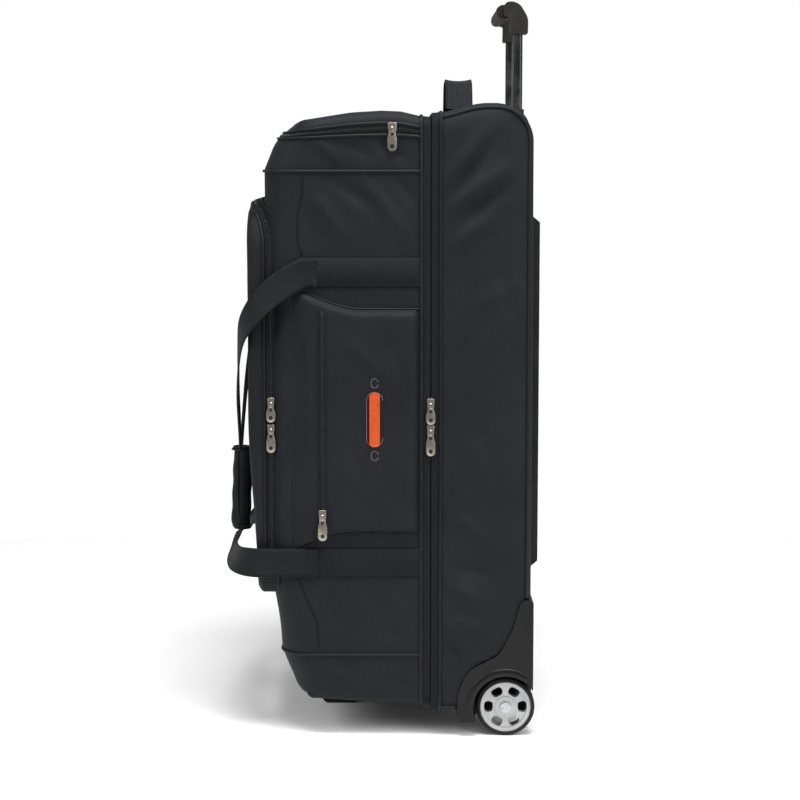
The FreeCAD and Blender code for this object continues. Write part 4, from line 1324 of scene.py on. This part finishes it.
class DuffelColours(bpy.types.PropertyGroup):
    cloth: tint("Cloth", "Polyester cloth", "#111216")
    cloth_worn: tint("Worn cloth", "Cloth where it has rubbed and dusted", "#18191d")
    cloth_thread: tint("Cloth thread", "Threads that stand up and catch light", "#212327")
    lining: tint("Lining", "Lining of both cases", "#26282c")
    # A lighter lining tone, also used as the painted highlight on the lining's creases.
    lining_light_and_crease_highlight: tint("Light lining and crease highlight", "Lighter lining, and the painted highlight on its creases", "#34363b")
    webbing: tint("Webbing", "Straps", "#0b0c10")
    # A lighter webbing tone, also used as the painted highlight on the raised ribs.
    webbing_light_and_rib_highlight: tint("Light webbing and rib highlight", "Lighter webbing, and the painted highlight on the straps' raised ribs", "#15171b")
    tape: tint("Zip tape", "Knitted tape of the zips", "#0e0f11")
    tape_light: tint("Worn zip tape", "Zip tape where it has rubbed", "#1a1b1e")
    piping: tint("Piping", "Binding of the corded seams", "#141518")
    coil: tint("Zip coil", "Coil of the zips", "#101113")
    badge_thread: tint("Badge thread", "Thread of the plain outlines by the bar", "#8e9096")
    thread: tint("Thread", "Sewing thread", "#1e2024")
    guard: tint("Guard", "Wheel guards", "#0b0b0d")
    guard_rub: tint("Rubbed guard", "Wheel guards where they have rubbed", "#121214")
    rail: tint("Rail", "Rails and feet", "#121315")
    rail_rub: tint("Rubbed rail", "Rails and feet where they have rubbed", "#202124")
    grip: tint("Grip", "Handle at the top of the tubes", "#1f1d1b")
    grip_rub: tint("Rubbed grip", "Handle where hands have polished it", "#2b2825")
    hub: tint("Hub", "Wheel discs", "#a6a6a6")
    hub_shade: tint("Hub shade", "Wheel discs where dust lies", "#96979a")
    tyre: tint("Tyre", "Wheel treads", "#151516")
    tyre_dust: tint("Dusty tyre", "Wheel treads where dust lies", "#2a2928")
    tube: tint("Tube", "Coated tubes", "#0c0d0e")
    tube_rub: tint("Rubbed tube", "Coated tubes where they slide", "#3c3d40")
    nickel: tint("Nickel", "Zip pulls and tabs", "#a29a8e")
    nickel_shade: tint("Nickel shade", "Zip pulls where they have dulled", "#6f695f")
    badge: tint("Badge", "Bar on the side pocket", "#b9481c")
    badge_shade: tint("Badge shade", "Bar where it has soiled", "#a63d15")


class DuffelStage(bpy.types.PropertyGroup):
    lens: amount("Lens", "Focal length in millimetres", 92.25)
    distance: length("Distance", "Camera to the bag's near side", 2650.0)
    camera_x: length("Camera place", "Camera along the bag's depth", 27.0)
    camera_height: length("Camera height", "Camera above the floor", 766.0)
    pitch: amount("Pitch", "How far the camera looks down", math.radians(6.8), subtype="ANGLE",
                  unit="ROTATION")
    backdrop: amount("Backdrop", "Strength of the white backdrop", 1.0)
    fill: amount("Fill", "Strength of the light from all round", 0.4)
    key_power: amount("Key light", "Watts of the key light", 36.0, unit="POWER")
    edge_power: amount("Edge light", "Watts of the edge light", 26.0, unit="POWER")
    top_power: amount("Top light", "Watts of the top light", 96.0, unit="POWER")


class DUFFEL_OT_finishes(bpy.types.Operator):
    """Mixes every finish and gives the frame's own pieces theirs"""
    bl_idname = "duffel.finishes"
    bl_label = "Finishes"

    def execute(self, context):
        make_finishes(context.scene.duffel_colours)
        finish_frame()
        return {"FINISHED"}


class DUFFEL_OT_cases(bpy.types.Operator):
    """Sews the front and rear case with their lining"""
    bl_idname = "duffel.cases"
    bl_label = "Cases"

    def execute(self, context):
        make_cases(context.scene.duffel_sizes)
        return {"FINISHED"}


class DUFFEL_OT_pockets(bpy.types.Operator):
    """Sews the front pocket and the two side pockets"""
    bl_idname = "duffel.pockets"
    bl_label = "Pockets"

    def execute(self, context):
        make_front_pocket()
        make_side_pockets()
        return {"FINISHED"}


class DUFFEL_OT_piping(bpy.types.Operator):
    """Lays the corded seams"""
    bl_idname = "duffel.piping"
    bl_label = "Piping"

    def execute(self, context):
        make_piping(context.scene.duffel_sizes)
        return {"FINISHED"}


class DUFFEL_OT_zips(bpy.types.Operator):
    """Sews in the zips"""
    bl_idname = "duffel.zips"
    bl_label = "Zips"

    def execute(self, context):
        make_zips(context.scene.duffel_sizes)
        make_pulls()
        return {"FINISHED"}


class DUFFEL_OT_hinge(bpy.types.Operator):
    """Sews the tape that the front case swings on"""
    bl_idname = "duffel.hinge"
    bl_label = "Hinge tape"

    def execute(self, context):
        make_hinge_gusset()
        return {"FINISHED"}


class DUFFEL_OT_webbing(bpy.types.Operator):
    """Sews the side webbing, the carry straps and the grab strap"""
    bl_idname = "duffel.webbing"
    bl_label = "Webbing"

    def execute(self, context):
        sizes = context.scene.duffel_sizes
        make_webbing(sizes)
        make_carry_straps(sizes)
        make_grab_strap()
        return {"FINISHED"}


class DUFFEL_OT_wrap(bpy.types.Operator):
    """Stuffs the wrap round the carry straps"""
    bl_idname = "duffel.wrap"
    bl_label = "Padded wrap"

    def execute(self, context):
        make_wrap()
        return {"FINISHED"}


class DUFFEL_OT_guards(bpy.types.Operator):
    """Raises the arches over the wheels"""
    bl_idname = "duffel.guards"
    bl_label = "Wheel guards"

    def execute(self, context):
        make_guard_lips()
        return {"FINISHED"}


class DUFFEL_OT_badge(bpy.types.Operator):
    """Sews the plain bar to the side pocket"""
    bl_idname = "duffel.badge"
    bl_label = "Badge"

    def execute(self, context):
        make_badge()
        return {"FINISHED"}


class DUFFEL_OT_stage(bpy.types.Operator):
    """Sets the floor, the lights and the camera"""
    bl_idname = "duffel.stage"
    bl_label = "Stage"

    def execute(self, context):
        make_stage(context.scene.duffel_stage)
        return {"FINISHED"}


STEPS = (DUFFEL_OT_finishes, DUFFEL_OT_stage, DUFFEL_OT_cases, DUFFEL_OT_pockets,
         DUFFEL_OT_piping, DUFFEL_OT_zips, DUFFEL_OT_hinge, DUFFEL_OT_webbing, DUFFEL_OT_wrap,
         DUFFEL_OT_guards, DUFFEL_OT_badge)


class DUFFEL_PT_panel(bpy.types.Panel):
    """Lists the bag's sizes, colours and pieces"""
    bl_idname = "DUFFEL_PT_panel"
    bl_label = "Rolling Duffel"
    bl_space_type = "VIEW_3D"
    bl_region_type = "UI"
    bl_category = "Duffel"

    def draw(self, context):
        for group in (context.scene.duffel_sizes, context.scene.duffel_colours,
                      context.scene.duffel_stage):
            box = self.layout.box()
            for key in group.bl_rna.properties.keys():
                if key not in ("rna_type", "name"):
                    box.prop(group, key)
        for step in STEPS:
            self.layout.operator(step.bl_idname)


CLASSES = (DuffelSizes, DuffelColours, DuffelStage) + STEPS + (DUFFEL_PT_panel,)


def register():
    for each in CLASSES:
        bpy.utils.register_class(each)
    bpy.types.Scene.duffel_sizes = bpy.props.PointerProperty(type=DuffelSizes)
    bpy.types.Scene.duffel_colours = bpy.props.PointerProperty(type=DuffelColours)
    bpy.types.Scene.duffel_stage = bpy.props.PointerProperty(type=DuffelStage)


def unregister():
    for name in ("duffel_stage", "duffel_colours", "duffel_sizes"):
        delattr(bpy.types.Scene, name)
    for each in reversed(CLASSES):
        bpy.utils.unregister_class(each)


def main():
    register()
    for step in STEPS:
        family, name = step.bl_idname.split(".")
        getattr(getattr(bpy.ops, family), name)()


if __name__ == "__main__":
    main()
